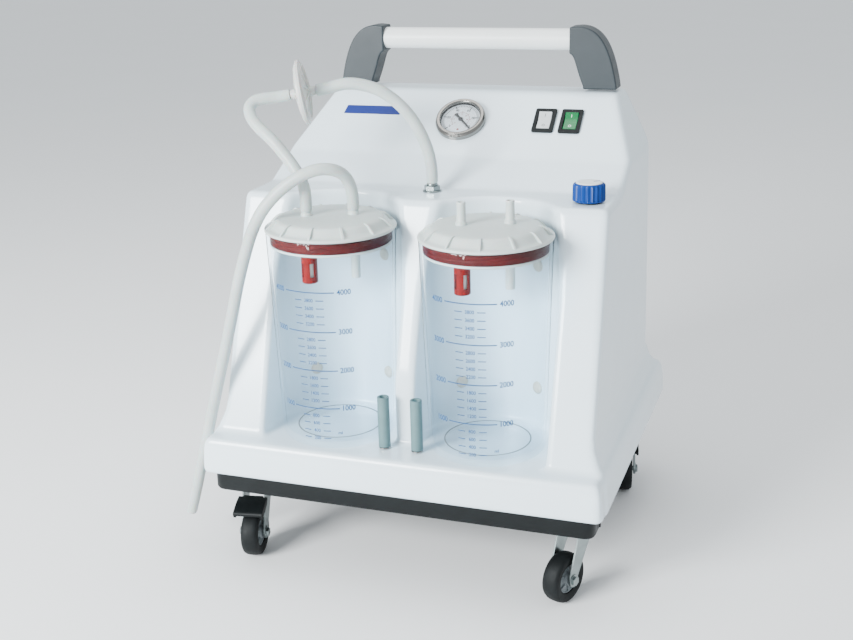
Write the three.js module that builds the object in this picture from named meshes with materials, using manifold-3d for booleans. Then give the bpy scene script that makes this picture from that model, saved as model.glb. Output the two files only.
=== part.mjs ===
// A two-jar surgical suction pump on casters, in millimetres.
// +X is the machine's right side as seen from the front, +Y is its rear and +Z is up.
// The origin is on the floor, under the centre of the cabinet.
import * as THREE from "three";
import { mergeVertices } from "three/addons/utils/BufferGeometryUtils.js";
import Module from "manifold-3d";

const wasm = await Module();
wasm.setup();

// ---- driving dimensions -------------------------------------------------------------------

const GAP = 0.3; // between pieces that touch
const WALL = 4; // cabinet wall

const CABINET = { halfWidth: 275, halfDepth: 240, bottom: 133, cornerRadius: 14 };
const LEDGE = { z: 185, edgeZ: 173, edgeHalfWidth: 270, edgeY: -235 };
const BODY = { halfWidthLow: 254, halfWidthHigh: 247, lowZ: 213, rearY: 200 };
const PILLAR = { footY: -205, topY: -104 };
const SHOULDER = { z: 494, rearY: -27 };
const CREASE = { y: 38, z: 525 };
const PANEL_TOP = { y: 139, z: 604, halfWidth: 208 };
const BAY_RADIUS = 90;
const RIDGE_FOOT_Y = -178;

const TRAY = { halfWidth: 262, halfDepth: 228, bottom: 106, wall: 5, floor: 4, cornerRadius: 12 };

const JAR = { x: 104, y: -150, base: LEDGE.z + GAP, top: 463 };
const JAR_RADIUS = { foot: 71.4, low: 75.8, high: 83.8, wall: 4 };
const NIPPLE = { dx: 28, dy: 11, radius: 5.4, bore: 3.4, top: 509 };

const POST = { x: 22.4, y: -196, top: 256, coreRadius: 3.9, sleeveRadius: 7.8 };
const INLET = { x: 0, y: -48, nutRadius: 11, barbRadius: 5.2, top: 528 };
const KNOB = { x: 214, y: -64, radius: 21, bottom: SHOULDER.z + 2.4, top: 520, flutes: 22 };

const HANDLE = { y: 164, z: 671, barRadius: 15, gripHalf: 138, barHalf: 160, armDepth: 34 };
const SOCKET_START = 100; // where the cutter for the bar's socket starts, well inside the grip

const GAUGE = { x: -2, u: 64, caseRadius: 31.4, bezelRadius: 35.6 };
const SWITCH = { u: 68.5, width: 30, height: 43, powerX: 117.5, selectorX: 154.5 };

const WHEEL = { radius: 33, width: 24, trail: 25, facets: 24, swivelX: 226, swivelY: 172 };

const HOSE_RADIUS = 7.8;

const COLOURS = {
  white: { color: 0xe9eef0, roughness: 0.25, metalness: 0 },
  black: { color: 0x20262a, roughness: 0.5, metalness: 0 },
  slate: { color: 0x7d8a92, roughness: 0.45, metalness: 0 },
  clear: { color: 0xdfeaf2, roughness: 0.05, metalness: 0, transparent: true, opacity: 0.35 },
  lid: { color: 0xdde3df, roughness: 0.5, metalness: 0 },
  maroon: { color: 0x7d3a3a, roughness: 0.6, metalness: 0 },
  red: { color: 0xc8301e, roughness: 0.4, metalness: 0 },
  silicone: { color: 0xd9dbd2, roughness: 0.5, metalness: 0 },
  zinc: { color: 0x9aa1a3, roughness: 0.35, metalness: 0.9 },
  steel: { color: 0xc4c8cc, roughness: 0.2, metalness: 1 },
  rubber: { color: 0x26292b, roughness: 0.85, metalness: 0 },
  blue: { color: 0x2f6fc6, roughness: 0.4, metalness: 0 },
  green: { color: 0x108a4a, roughness: 0.35, metalness: 0 },
};

// ---- solids -------------------------------------------------------------------------------

// A closed geometry as a solid, turned the right way out.
function solid(geometry) {
  const bare = new THREE.BufferGeometry();
  bare.setAttribute("position", geometry.getAttribute("position"));
  if (geometry.index) bare.setIndex(geometry.index);
  const merged = mergeVertices(bare, 1e-4);
  const triVerts = new Uint32Array(merged.index.array);
  const vertProperties = new Float32Array(merged.getAttribute("position").array);
  if (signedVolume(vertProperties, triVerts) < 0) {
    for (let i = 0; i < triVerts.length; i += 3) {
      [triVerts[i + 1], triVerts[i + 2]] = [triVerts[i + 2], triVerts[i + 1]];
    }
  }
  return new wasm.Manifold(new wasm.Mesh({ numProp: 3, vertProperties, triVerts }));
}

function signedVolume(points, triangles) {
  const [a, b, c] = [new THREE.Vector3(), new THREE.Vector3(), new THREE.Vector3()];
  let total = 0;
  for (let i = 0; i < triangles.length; i += 3) {
    a.fromArray(points, 3 * triangles[i]);
    b.fromArray(points, 3 * triangles[i + 1]);
    c.fromArray(points, 3 * triangles[i + 2]);
    total += a.dot(b.cross(c)) / 6;
  }
  return total;
}

function geometryOf(manifold) {
  const mesh = manifold.getMesh();
  const geometry = new THREE.BufferGeometry();
  geometry.setAttribute("position", new THREE.BufferAttribute(mesh.vertProperties, 3));
  geometry.setIndex(new THREE.BufferAttribute(mesh.triVerts, 1));
  return geometry.toNonIndexed();
}

const union = (...parts) => parts.reduce((whole, part) => whole.add(part));
const cut = (whole, ...tools) => tools.reduce((rest, tool) => rest.subtract(tool), whole);

function box(x0, x1, y0, y1, z0, z1) {
  const geometry = new THREE.BoxGeometry(x1 - x0, y1 - y0, z1 - z0);
  return solid(geometry.translate((x0 + x1) / 2, (y0 + y1) / 2, (z0 + z1) / 2));
}

// A profile of [radius, height] points turned about the Z axis.
function lathe(profile, segments = 32) {
  const points = profile.map(([r, z]) => new THREE.Vector2(r, z));
  return solid(new THREE.LatheGeometry(points, segments).rotateX(Math.PI / 2));
}

const disc = (radius, z0, z1, segments = 32) =>
  lathe([[0, z0], [radius, z0], [radius, z1], [0, z1]], segments);

const ring = (inner, outer, z0, z1, segments = 32) =>
  lathe([[inner, z0], [outer, z0], [outer, z1], [inner, z1], [inner, z0]], segments);

// A polygon of [x, y, cornerRadius] points, its corners rounded by short curves.
function outline(corners) {
  const shape = new THREE.Shape();
  corners.forEach(([x, y, radius = 0], i) => {
    const before = corners.at(i - 1);
    const after = corners[(i + 1) % corners.length];
    const here = new THREE.Vector2(x, y);
    const start = towards(here, before, radius);
    const end = towards(here, after, radius);
    if (i === 0) shape.moveTo(start.x, start.y);
    else shape.lineTo(start.x, start.y);
    if (radius > 0) shape.quadraticCurveTo(x, y, end.x, end.y);
  });
  shape.closePath();
  return shape;
}

function towards(from, [x, y], distance) {
  const step = new THREE.Vector2(x, y).sub(from);
  return from.clone().add(step.setLength(Math.min(distance, step.length() / 2)));
}

// A shape swept along one axis between two places. Its own x and y become the other two axes.
function prism(shape, axis, from, to, curveSegments = 3) {
  const depth = to - from;
  const geometry = new THREE.ExtrudeGeometry(shape, { depth, bevelEnabled: false, curveSegments });
  geometry.translate(0, 0, from);
  if (axis === "x") geometry.rotateX(Math.PI / 2).rotateZ(Math.PI / 2); // shape x, y -> y, z
  if (axis === "y") geometry.rotateX(Math.PI / 2).scale(1, -1, 1); // shape x, y -> x, z
  return solid(geometry);
}

function roundedRectangle(halfX, halfY, radius) {
  return outline([
    [-halfX, -halfY, radius],
    [halfX, -halfY, radius],
    [halfX, halfY, radius],
    [-halfX, halfY, radius],
  ]);
}

// A polygon moved inwards by a distance, its corners kept sharp.
function inset(corners, distance) {
  return corners.map(([x, y, radius = 0], i) => {
    const p = new THREE.Vector2(x, y);
    const into = new THREE.Vector2(...corners.at(i - 1).slice(0, 2)).sub(p).negate().normalize();
    const away = new THREE.Vector2(...corners[(i + 1) % corners.length].slice(0, 2)).sub(p).normalize();
    const normalIn = new THREE.Vector2(-into.y, into.x);
    const normalAway = new THREE.Vector2(-away.y, away.x);
    const middle = normalIn.clone().add(normalAway);
    middle.multiplyScalar(distance / (1 + normalIn.dot(normalAway)));
    return [x + middle.x, y + middle.y, radius];
  });
}

// A round bar or hose along a smooth curve through [x, y, z] points.
function tube(points, radius, sides, steps) {
  const stations = points.map((p) => new THREE.Vector3(...p));
  const curve = new THREE.CatmullRomCurve3(stations, false, "centripetal");
  const section = new THREE.Shape();
  for (let i = 0; i < sides; i += 1) {
    const angle = (2 * Math.PI * i) / sides;
    const place = [radius * Math.cos(angle), radius * Math.sin(angle)];
    if (i === 0) section.moveTo(...place);
    else section.lineTo(...place);
  }
  section.closePath();
  return solid(new THREE.ExtrudeGeometry(section, { steps, extrudePath: curve, bevelEnabled: false }));
}

const move = (part, x, y, z) => part.translate([x, y, z]);

// ---- scene graph --------------------------------------------------------------------------

const pump = new THREE.Group();

function add(name, manifold, colour, group = pump) {
  const mesh = new THREE.Mesh(geometryOf(manifold), new THREE.MeshStandardMaterial(COLOURS[colour]));
  mesh.name = name;
  group.add(mesh);
  return mesh;
}

// A group whose X is the machine's, whose Y runs up the sloping panel and whose Z leaves it.
const panelSlope = Math.atan2(PANEL_TOP.z - CREASE.z, PANEL_TOP.y - CREASE.y);
const panel = new THREE.Group();
panel.position.set(0, CREASE.y, CREASE.z);
panel.rotation.x = panelSlope;
pump.add(panel);

const onPanel = (part) => part.rotate([THREE.MathUtils.radToDeg(panelSlope), 0, 0])
  .translate([0, CREASE.y, CREASE.z]);

// ---- cabinet ------------------------------------------------------------------------------

// The cabinet's outline seen from its side, as [y, z, corner radius].
const SIDE_OUTLINE = [
  [-CABINET.halfDepth, CABINET.bottom, 2],
  [CABINET.halfDepth, CABINET.bottom, 2],
  [232, 178, 12],
  [BODY.rearY, 205, 14],
  [BODY.rearY, PANEL_TOP.z, 20],
  [PANEL_TOP.y, PANEL_TOP.z, 6],
  [CREASE.y, CREASE.z, 10],
  [SHOULDER.rearY, SHOULDER.z, 8],
  [PILLAR.topY, SHOULDER.z, 18],
  [PILLAR.footY, LEDGE.z, 6],
  [LEDGE.edgeY + 3, LEDGE.z, 8],
  [LEDGE.edgeY - 1, LEDGE.edgeZ - 3, 8],
];

// The right half of its outline seen from the front, as [x, z, corner radius].
const FRONT_HALF = [
  [CABINET.halfWidth, CABINET.bottom, 2],
  [LEDGE.edgeHalfWidth, LEDGE.edgeZ, 12],
  [BODY.halfWidthLow, BODY.lowZ, 14],
  [BODY.halfWidthHigh, CREASE.z, 12],
  [PANEL_TOP.halfWidth, PANEL_TOP.z, 14],
];

function mirrored(half) {
  return [...half, ...half.map(([x, z, radius]) => [-x, z, radius]).reverse()];
}

const frontOutline = mirrored(FRONT_HALF);

function cabinetBlock(distance) {
  const side = prism(outline(inset(SIDE_OUTLINE, distance)), "x", -300, 300);
  const front = prism(outline(inset(frontOutline, distance)), "y", -260, 260);
  const plan = roundedRectangle(
    CABINET.halfWidth - distance,
    CABINET.halfDepth - distance,
    CABINET.cornerRadius,
  );
  const upperPlan = outline([
    [-BODY.halfWidthLow + distance, -300, 0],
    [BODY.halfWidthLow - distance, -300, 0],
    [BODY.halfWidthLow - distance, BODY.rearY - distance, 26],
    [-BODY.halfWidthLow + distance, BODY.rearY - distance, 26],
  ]);
  const block = side.intersect(front).intersect(prism(plan, "z", 100, 700));
  const lower = block.intersect(box(-300, 300, -260, 260, 100, BODY.lowZ - 4));
  const upper = block.intersect(prism(upperPlan, "z", BODY.lowZ - 4, 700));
  return lower.add(upper);
}

// The recess that a jar stands in: a half cylinder behind the jar, open to the front.
function jarBay(side, radius, floor) {
  const shape = new THREE.Shape();
  shape.moveTo(side * JAR.x - radius, -300);
  shape.lineTo(side * JAR.x + radius, -300);
  shape.lineTo(side * JAR.x + radius, JAR.y);
  shape.absarc(side * JAR.x, JAR.y, radius, 0, Math.PI, false);
  shape.closePath();
  return prism(shape, "z", floor, 560, 9);
}

const REAR_WINDOW = { halfWidth: 200, bottom: 235, top: 570 };
const CABINET_FLANGE = 22; // the cabinet's bottom edge turns inwards to stand on the tray

function frontHousing() {
  const outside = cabinetBlock(0);
  const inside = union(
    cabinetBlock(WALL).intersect(box(-300, 300, -300, 300, CABINET.bottom + WALL, 700)),
    box(
      -CABINET.halfWidth + CABINET_FLANGE,
      CABINET.halfWidth - CABINET_FLANGE,
      -CABINET.halfDepth + CABINET_FLANGE,
      CABINET.halfDepth - CABINET_FLANGE,
      CABINET.bottom - 5,
      CABINET.bottom + WALL + 1,
    ),
  );
  // The ridge between the bays stops short of the hose posts.
  const ridgeEnd = (grow) =>
    box(-40, 40, -300, RIDGE_FOOT_Y + grow, LEDGE.z - grow, SHOULDER.z + 50);
  let hollow = cut(inside, ridgeEnd(WALL));
  let shell = cut(outside, ridgeEnd(0));
  for (const side of [-1, 1]) {
    hollow = cut(hollow, jarBay(side, BAY_RADIUS + WALL, LEDGE.z - WALL));
    shell = cut(shell, jarBay(side, BAY_RADIUS, LEDGE.z));
  }
  const window = box(
    -REAR_WINDOW.halfWidth,
    REAR_WINDOW.halfWidth,
    BODY.rearY - 15,
    BODY.rearY + 10,
    REAR_WINDOW.bottom,
    REAR_WINDOW.top,
  );
  const holes = [
    window,
    move(disc(6.8, 470, 510, 16), INLET.x, INLET.y, 0),
    move(disc(6.4, 470, 510, 16), KNOB.x, KNOB.y, 0),
    onPanel(move(disc(GAUGE.caseRadius + 0.6, -20, 20, 32), GAUGE.x, GAUGE.u, 0)),
  ];
  for (const x of [SWITCH.powerX, SWITCH.selectorX]) {
    const half = { x: SWITCH.width / 2 - 2, u: SWITCH.height / 2 - 2 };
    holes.push(onPanel(box(x - half.x, x + half.x, SWITCH.u - half.u, SWITCH.u + half.u, -20, 20)));
  }
  return cut(shell, hollow, ...holes);
}

add("front_housing", frontHousing(), "white");

const COVER = { halfWidth: 212, bottom: 226, top: 580, thickness: 3 };
const MAINS = { x: 128, z: 262, halfWidth: 24, halfHeight: 16 };

function rearCover() {
  const y = BODY.rearY + GAP;
  const plate = roundedRectangle(COVER.halfWidth, (COVER.top - COVER.bottom) / 2, 14);
  let cover = move(prism(plate, "y", y, y + COVER.thickness), 0, 0, (COVER.top + COVER.bottom) / 2);
  for (const x of [-110, 110]) {
    for (let row = 0; row < 8; row += 1) {
      const z = 440 + 13 * row;
      cover = cut(cover, box(x - 55, x + 55, y - 5, y + 9, z, z + 5));
    }
  }
  return cut(
    cover,
    box(
      MAINS.x - MAINS.halfWidth,
      MAINS.x + MAINS.halfWidth,
      y - 5,
      y + 9,
      MAINS.z - MAINS.halfHeight,
      MAINS.z + MAINS.halfHeight,
    ),
  );
}

add("rear_cover", rearCover(), "white");

// An appliance inlet: a flange outside the cover, a body through it and a recess for the plug.
function mainsInlet() {
  const y = BODY.rearY + GAP + COVER.thickness + GAP;
  const flange = move(prism(roundedRectangle(30, 20, 5), "y", y, y + 3), MAINS.x, 0, MAINS.z);
  const body = box(MAINS.x - 23, MAINS.x + 23, 172, y + 0.5, MAINS.z - 15, MAINS.z + 15);
  const recess = move(prism(roundedRectangle(13, 9, 4), "y", 184, y + 5), MAINS.x - 7, 0, MAINS.z);
  const pin = (dx, dz) => box(
    MAINS.x - 7 + dx - 1,
    MAINS.x - 7 + dx + 1,
    183.5,
    y - 2,
    MAINS.z + dz - 2,
    MAINS.z + dz + 2,
  );
  return union(cut(flange.add(body), recess), pin(-7, -1), pin(7, -1), pin(0, 4));
}

add("mains_inlet", mainsInlet(), "black");

function baseTray() {
  const top = CABINET.bottom - GAP;
  const outside = roundedRectangle(TRAY.halfWidth, TRAY.halfDepth, TRAY.cornerRadius);
  const inside = roundedRectangle(
    TRAY.halfWidth - TRAY.wall,
    TRAY.halfDepth - TRAY.wall,
    TRAY.cornerRadius - TRAY.wall,
  );
  return cut(
    prism(outside, "z", TRAY.bottom, top),
    prism(inside, "z", TRAY.bottom + TRAY.floor, top + 5),
  );
}

add("base_tray", baseTray(), "black");

// ---- works inside the cabinet ---------------------------------------------------------------

const FLOOR = TRAY.bottom + TRAY.floor + GAP;
const MOTOR = { y: 90, z: 172, radius: 48, left: -50, right: 70 };

const PORT = { x: MOTOR.left - GAP - 54, z: MOTOR.z + 92 };

const alongX = (part) => part.rotate([0, 90, 0]);

function pumpMotor() {
  const barrel = move(alongX(disc(MOTOR.radius, MOTOR.left, MOTOR.right, 28)), 0, MOTOR.y, MOTOR.z);
  const shaft = move(alongX(disc(5, MOTOR.right - 1, MOTOR.right + 26, 12)), 0, MOTOR.y, MOTOR.z);
  const feet = box(-40, 60, MOTOR.y - 42, MOTOR.y + 42, FLOOR, FLOOR + 20);
  return union(barrel, shaft, feet);
}

function pumpHead() {
  const right = MOTOR.left - GAP;
  const crankcase = box(right - 80, right, MOTOR.y - 38, MOTOR.y + 38, MOTOR.z - 42, MOTOR.z + 34);
  const cylinder = (x) => move(disc(26, MOTOR.z + 33, MOTOR.z + 74, 24), x, MOTOR.y, 0);
  const port = move(disc(6, MOTOR.z + 70, PORT.z, 16), PORT.x, MOTOR.y, 0);
  const foot = box(right - 70, right - 10, MOTOR.y - 30, MOTOR.y + 30, FLOOR, MOTOR.z - 40);
  return union(crankcase, foot, cylinder(right - 28), cylinder(right - 54), port);
}

function coolingFan() {
  const hub = disc(14, 0, 18, 20);
  let fan = hub;
  for (let blade = 0; blade < 7; blade += 1) {
    const vane = box(10, 42, -1.6, 1.6, 3, 15).rotate([30, 0, 0]).translate([0, 4, -3]);
    fan = fan.add(vane.rotate([0, 0, (360 / 7) * blade]));
  }
  fan = cut(fan, disc(5.3, -5, 30, 12));
  return move(alongX(fan), MOTOR.right + 4, MOTOR.y, MOTOR.z);
}

function exhaustMuffler() {
  return move(
    lathe([[0, FLOOR], [24, FLOOR], [24, 190], [8, 196], [8, 214], [0, 214]], 24),
    -195,
    MOTOR.y,
    0,
  );
}

add("pump_motor", pumpMotor(), "zinc");
add("pump_head", pumpHead(), "zinc");
add("cooling_fan", coolingFan(), "black");
add("exhaust_muffler", exhaustMuffler(), "black");

// The hose inside the cabinet, held at both ends, from the suction inlet down to the pump head.
const INNER_HOSE = [
  [INLET.x, INLET.y, 461],
  [INLET.x, INLET.y, 446],
  [-4, -38, 412],
  [-20, -4, 370],
  [-60, 50, 325],
  [-96, 84, 300],
  [PORT.x, MOTOR.y, PORT.z + 18],
  [PORT.x, MOTOR.y, PORT.z + GAP],
];

add("inner_vacuum_hose", tube(INNER_HOSE, 6, 8, 18), "silicone");

// ---- handle -------------------------------------------------------------------------------

// One arm seen from the front: it rises flush with the cabinet's side and bends in to the bar.
function handleArm(side) {
  const foot = PANEL_TOP.z + GAP;
  const arm = new THREE.Shape();
  arm.moveTo(206, foot);
  arm.lineTo(205, foot + 8);
  arm.bezierCurveTo(200, 640, 192, 664, 181, 676);
  arm.bezierCurveTo(172, 686, 162, 690, 150, 690);
  arm.lineTo(HANDLE.gripHalf, 689);
  arm.lineTo(HANDLE.gripHalf, 653);
  arm.bezierCurveTo(147, 650, 146, 636, 158, foot + 4);
  arm.lineTo(158, foot);
  arm.closePath();
  const half = HANDLE.armDepth / 2;
  const body = prism(arm, "y", HANDLE.y - half, HANDLE.y + half, 8);
  const socketCore = disc(HANDLE.barRadius + GAP, SOCKET_START, HANDLE.barHalf + GAP, 24);
  const rightArm = cut(body, move(alongX(socketCore), 0, HANDLE.y, HANDLE.z));
  return side > 0 ? rightArm : rightArm.mirror([1, 0, 0]);
}

const barCore = disc(HANDLE.barRadius, -HANDLE.barHalf, HANDLE.barHalf, 24);
const bar = move(alongX(barCore), 0, HANDLE.y, HANDLE.z);

add("handle_bar", bar, "white");
add("handle_arm_left", handleArm(-1), "slate");
add("handle_arm_right", handleArm(1), "slate");

// ---- vacuum gauge ---------------------------------------------------------------------------

function gauge() {
  const at = (part) => move(part, GAUGE.x, GAUGE.u, 0);
  const inner = GAUGE.caseRadius;
  add("gauge_case", at(lathe([[0, -38], [24, -38], [inner, -30], [inner, 2.6], [0, 2.6]])), "black", panel);
  add("gauge_dial", at(disc(inner - 0.2, 2.9, 3.9)), "white", panel);
  add("gauge_lens", at(disc(inner, 7.4, 8.9)), "clear", panel);
  const bezel = [
    [inner + 0.5, GAP],
    [GAUGE.bezelRadius, GAP],
    [GAUGE.bezelRadius, 6.5],
    [GAUGE.bezelRadius - 2.4, 10.2],
    [28.6, 10.2],
    [28.6, 9.2],
    [inner + 0.5, 9.2],
    [inner + 0.5, GAP],
  ];
  add("gauge_bezel", at(lathe(bezel, 32)), "steel", panel);
  const pointer = outline([[-1.6, -9], [1.6, -9], [0.5, 23], [-0.5, 23]]);
  const needle = prism(pointer, "z", 4.6, 5.5).add(disc(3.4, 4.3, 6.4, 16));
  add("gauge_needle", at(needle.rotate([0, 0, -135])), "black", panel);
}

gauge();

// ---- switches -------------------------------------------------------------------------------

function rockerSwitch(name, x, colour) {
  const halfX = SWITCH.width / 2;
  const halfU = SWITCH.height / 2;
  const flange = prism(roundedRectangle(halfX, halfU, 3), "z", GAP, 4);
  const body = box(-halfX + 2.4, halfX - 2.4, -halfU + 2.4, halfU - 2.4, -24, 1);
  const well = box(-halfX + 4, halfX - 4, -halfU + 5, halfU - 5, -10, 6);
  add(name + "_switch_frame", move(cut(flange.add(body), well), x, SWITCH.u, 0), "black", panel);
  const length = halfU - 6;
  const profile = outline([
    [-length, -2.5],
    [-9, -6],
    [9, -6],
    [length, -2.5],
    [length - 0.6, 5.2, 1.5],
    [0, 1.8, 6],
    [-length + 0.3, 2.4, 1],
  ]);
  const rocker = prism(profile, "x", -halfX + 4.5, halfX - 4.5);
  add(name + "_rocker", move(rocker, x, SWITCH.u, 0), colour, panel);
}

rockerSwitch("power", SWITCH.powerX, "white");
rockerSwitch("selector", SWITCH.selectorX, "green");

// ---- regulator and inlet ----------------------------------------------------------------------

function regulatorKnob() {
  const star = new THREE.Shape();
  const steps = KNOB.flutes * 2;
  for (let i = 0; i <= steps; i += 1) {
    const angle = (2 * Math.PI * i) / steps;
    const radius = KNOB.radius - 0.7 + 0.7 * Math.cos(angle * KNOB.flutes);
    const place = [radius * Math.cos(angle), radius * Math.sin(angle)];
    if (i === 0) star.moveTo(...place);
    else if (i < steps) star.lineTo(...place);
  }
  star.closePath();
  const grip = prism(star, "z", KNOB.bottom, KNOB.top - 2);
  const cap = disc(KNOB.radius - 4, KNOB.top - 3, KNOB.top, 32);
  const bore = disc(4.4, KNOB.bottom - 5, KNOB.top - 8, 16);
  return move(cut(grip.add(cap), bore), KNOB.x, KNOB.y, 0);
}

function regulatorValve() {
  const under = SHOULDER.z - WALL - GAP;
  const body = disc(15, under - 36, under, 20);
  const stem = disc(4, under - 2, KNOB.top - 9, 16);
  return move(body.add(stem), KNOB.x, KNOB.y, 0);
}

function suctionInlet() {
  const nut = disc(INLET.nutRadius, SHOULDER.z + GAP, SHOULDER.z + 8, 6);
  const shank = disc(6.2, SHOULDER.z - 18, SHOULDER.z + 1, 12);
  const upper = lathe([
    [0, SHOULDER.z + 7],
    [6.8, SHOULDER.z + 7],
    [6.8, SHOULDER.z + 11],
    [INLET.barbRadius - 0.8, SHOULDER.z + 11],
    [INLET.barbRadius - 0.8, INLET.top - 8],
    [INLET.barbRadius, INLET.top - 8],
    [INLET.barbRadius - 1.2, INLET.top],
    [0, INLET.top],
  ], 12);
  const lower = disc(INLET.barbRadius, 461 + GAP, SHOULDER.z - 17, 12);
  const bore = disc(2.6, 440, INLET.top + 5, 8);
  return move(cut(union(nut, shank, upper, lower), bore), INLET.x, INLET.y, 0);
}

add("regulator_knob", regulatorKnob(), "blue");
add("regulator_valve", regulatorValve(), "zinc");
add("suction_inlet", suctionInlet(), "zinc");

// ---- jars ---------------------------------------------------------------------------------

function jarShape() {
  const { foot, low, high, wall } = JAR_RADIUS;
  return lathe([
    [0, JAR.base + 2.6],
    [foot - 11, JAR.base + 2.6],
    [foot - 8, JAR.base],
    [foot, JAR.base],
    [low - 1, JAR.base + 2.4],
    [low, JAR.base + 6],
    [high, JAR.top],
    [high - wall, JAR.top],
    [low - wall, JAR.base + 11],
    [low - wall - 3, JAR.base + 7.4],
    [foot - 16, JAR.base + 6.6],
    [0, JAR.base + 6.6],
  ], 32);
}

const LID = { flangeRadius: 85, plugRadius: 73.6, seatZ: JAR.top + GAP, flankFoot: 78.5, flankTop: 70.5 };

const DROP_TUBE_BOTTOM = 395;

const nippleAt = (part, hand) => move(part, hand * NIPPLE.dx, hand * NIPPLE.dy, 0);

function lidShape() {
  const { flangeRadius, plugRadius, seatZ, flankFoot, flankTop } = LID;
  const bore = JAR_RADIUS.high - JAR_RADIUS.wall;
  let lid = lathe([
    [0, seatZ + 13.6],
    [flankTop - 4, seatZ + 12],
    [plugRadius, seatZ + 6],
    [plugRadius, JAR.top - 19],
    [bore - 1, JAR.top - 19],
    [bore - 1, JAR.top - 15.5],
    [plugRadius + 3, JAR.top - 15.5],
    [plugRadius + 3, seatZ],
    [flangeRadius, seatZ],
    [flangeRadius, seatZ + 3.4],
    [flankFoot, seatZ + 4.6],
    [flankTop, seatZ + 14.4],
    [0, seatZ + 17.4],
  ], 32);
  for (const hand of [-1, 1]) {
    const stem = lathe([
      [0, seatZ + 14.5],
      [NIPPLE.radius + 2, seatZ + 14.5],
      [NIPPLE.radius + 0.6, seatZ + 21],
      [NIPPLE.radius, NIPPLE.top - 1],
      [NIPPLE.radius - 0.8, NIPPLE.top],
      [0, NIPPLE.top],
    ], 14);
    lid = lid.add(nippleAt(stem, hand));
  }
  lid = lid.add(nippleAt(disc(6.4, DROP_TUBE_BOTTOM, seatZ + 15, 14), 1));
  for (const hand of [-1, 1]) {
    const hole = disc(NIPPLE.bore, DROP_TUBE_BOTTOM - 5, NIPPLE.top + 5, 8);
    lid = cut(lid, nippleAt(hole, hand));
  }
  return lid;
}

const gasketShape = () =>
  ring(LID.plugRadius + 3 + GAP, JAR_RADIUS.high - JAR_RADIUS.wall - 0.7, JAR.top - 15.2, JAR.top - 2, 32);

const CAGE = { radius: 10.6, wall: 1.8, top: LID.seatZ + 12.4, bottom: 391 };
const FLOAT = { radius: 6.6, tipRadius: 3, bottom: CAGE.bottom + 2.6, height: 26.4, cone: 3 };

function cageShape() {
  const { radius, wall, top, bottom } = CAGE;
  let cage = cut(disc(radius, bottom, top, 16), disc(radius - wall, bottom + 2, top + 5, 16));
  cage = cut(cage, disc(2.5, bottom - 5, bottom + 5, 12));
  for (const turn of [45, 135]) {
    cage = cut(cage, box(-radius - 5, radius + 5, -2.6, 2.6, bottom + 8, bottom + 26).rotate([0, 0, turn]));
  }
  return nippleAt(cage, -1);
}

function floatShape() {
  const top = FLOAT.bottom + FLOAT.height;
  const plug = lathe([
    [0, FLOAT.bottom],
    [FLOAT.radius, FLOAT.bottom],
    [FLOAT.radius, top - FLOAT.cone],
    [FLOAT.tipRadius, top],
    [0, top],
  ], 20);
  return nippleAt(plug, -1);
}

for (const [side, x] of [["left", -JAR.x], ["right", JAR.x]]) {
  const stand = new THREE.Group();
  stand.position.set(x, JAR.y, 0);
  pump.add(stand);
  add("jar_" + side, jarShape(), "clear", stand);
  add("lid_" + side, lidShape(), "lid", stand);
  add("lid_gasket_" + side, gasketShape(), "maroon", stand);
  add("float_cage_" + side, cageShape(), "red", stand);
  add("overflow_float_" + side, floatShape(), "white", stand);
}

// ---- hose posts -------------------------------------------------------------------------------

for (const [side, x] of [["left", -POST.x], ["right", POST.x]]) {
  const foot = LEDGE.z + GAP;
  const flange = disc(POST.sleeveRadius, foot, foot + 1.5, 20);
  const core = disc(POST.coreRadius, foot, POST.top - 8, 16).add(flange);
  add("post_core_" + side, move(core, x, POST.y, 0), "steel");
  const sleeve = ring(POST.coreRadius + GAP, POST.sleeveRadius, foot + 1.5 + GAP, POST.top, 24);
  add("post_sleeve_" + side, move(sleeve, x, POST.y, 0), "slate");
}

// ---- hoses ------------------------------------------------------------------------------------

// Free hoses lie on hand-chosen routes. Each starts or ends square on the piece that it fits.
const LEFT_LID = {
  outer: [-JAR.x - NIPPLE.dx, JAR.y - NIPPLE.dy],
  inner: [-JAR.x + NIPPLE.dx, JAR.y + NIPPLE.dy],
};

const PATIENT_HOSE = [
  [...LEFT_LID.inner, 486],
  [...LEFT_LID.inner, 501],
  [-77, -144, 519],
  [-81, -155, 534],
  [-90, -166, 542],
  [-104, -176, 544],
  [-121, -183, 539],
  [-137, -188, 530],
  [-158, -193, 513],
  [-177, -197, 491],
  [-191, -199, 466],
  [-203, -200, 435],
  [-215, -201, 398],
  [-228, -201, 352],
  [-242, -201, 304],
  [-257, -200, 256],
  [-272, -199, 207],
  [-285, -198, 164],
  [-299, -196, 120],
  [-312, -193, 80],
  [-324, -190, 46],
];

// The round in-line filter hangs in the vacuum hose. Each hose meets one of its ports.
const FILTER = { radius: 42, hub: 17, centre: [-157, -97, 627], axis: [0.93, 0.33, 0.15] };
const filterAxis = new THREE.Vector3(...FILTER.axis).normalize();
const fromFilter = (distance) =>
  new THREE.Vector3(...FILTER.centre).addScaledVector(filterAxis, distance).toArray();

const JAR_HOSE = [
  [...LEFT_LID.outer, 486],
  [...LEFT_LID.outer, 502],
  [-134, -160, 517],
  [-142, -158, 533],
  [-157, -154, 551],
  [-179, -150, 573],
  [-199, -144, 587],
  [-213, -138, 600],
  [-218, -131, 611],
  [-214, -124, 618],
  [-203, -117, 621],
  fromFilter(-FILTER.hub - GAP - 16),
  fromFilter(-FILTER.hub - GAP),
];

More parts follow.
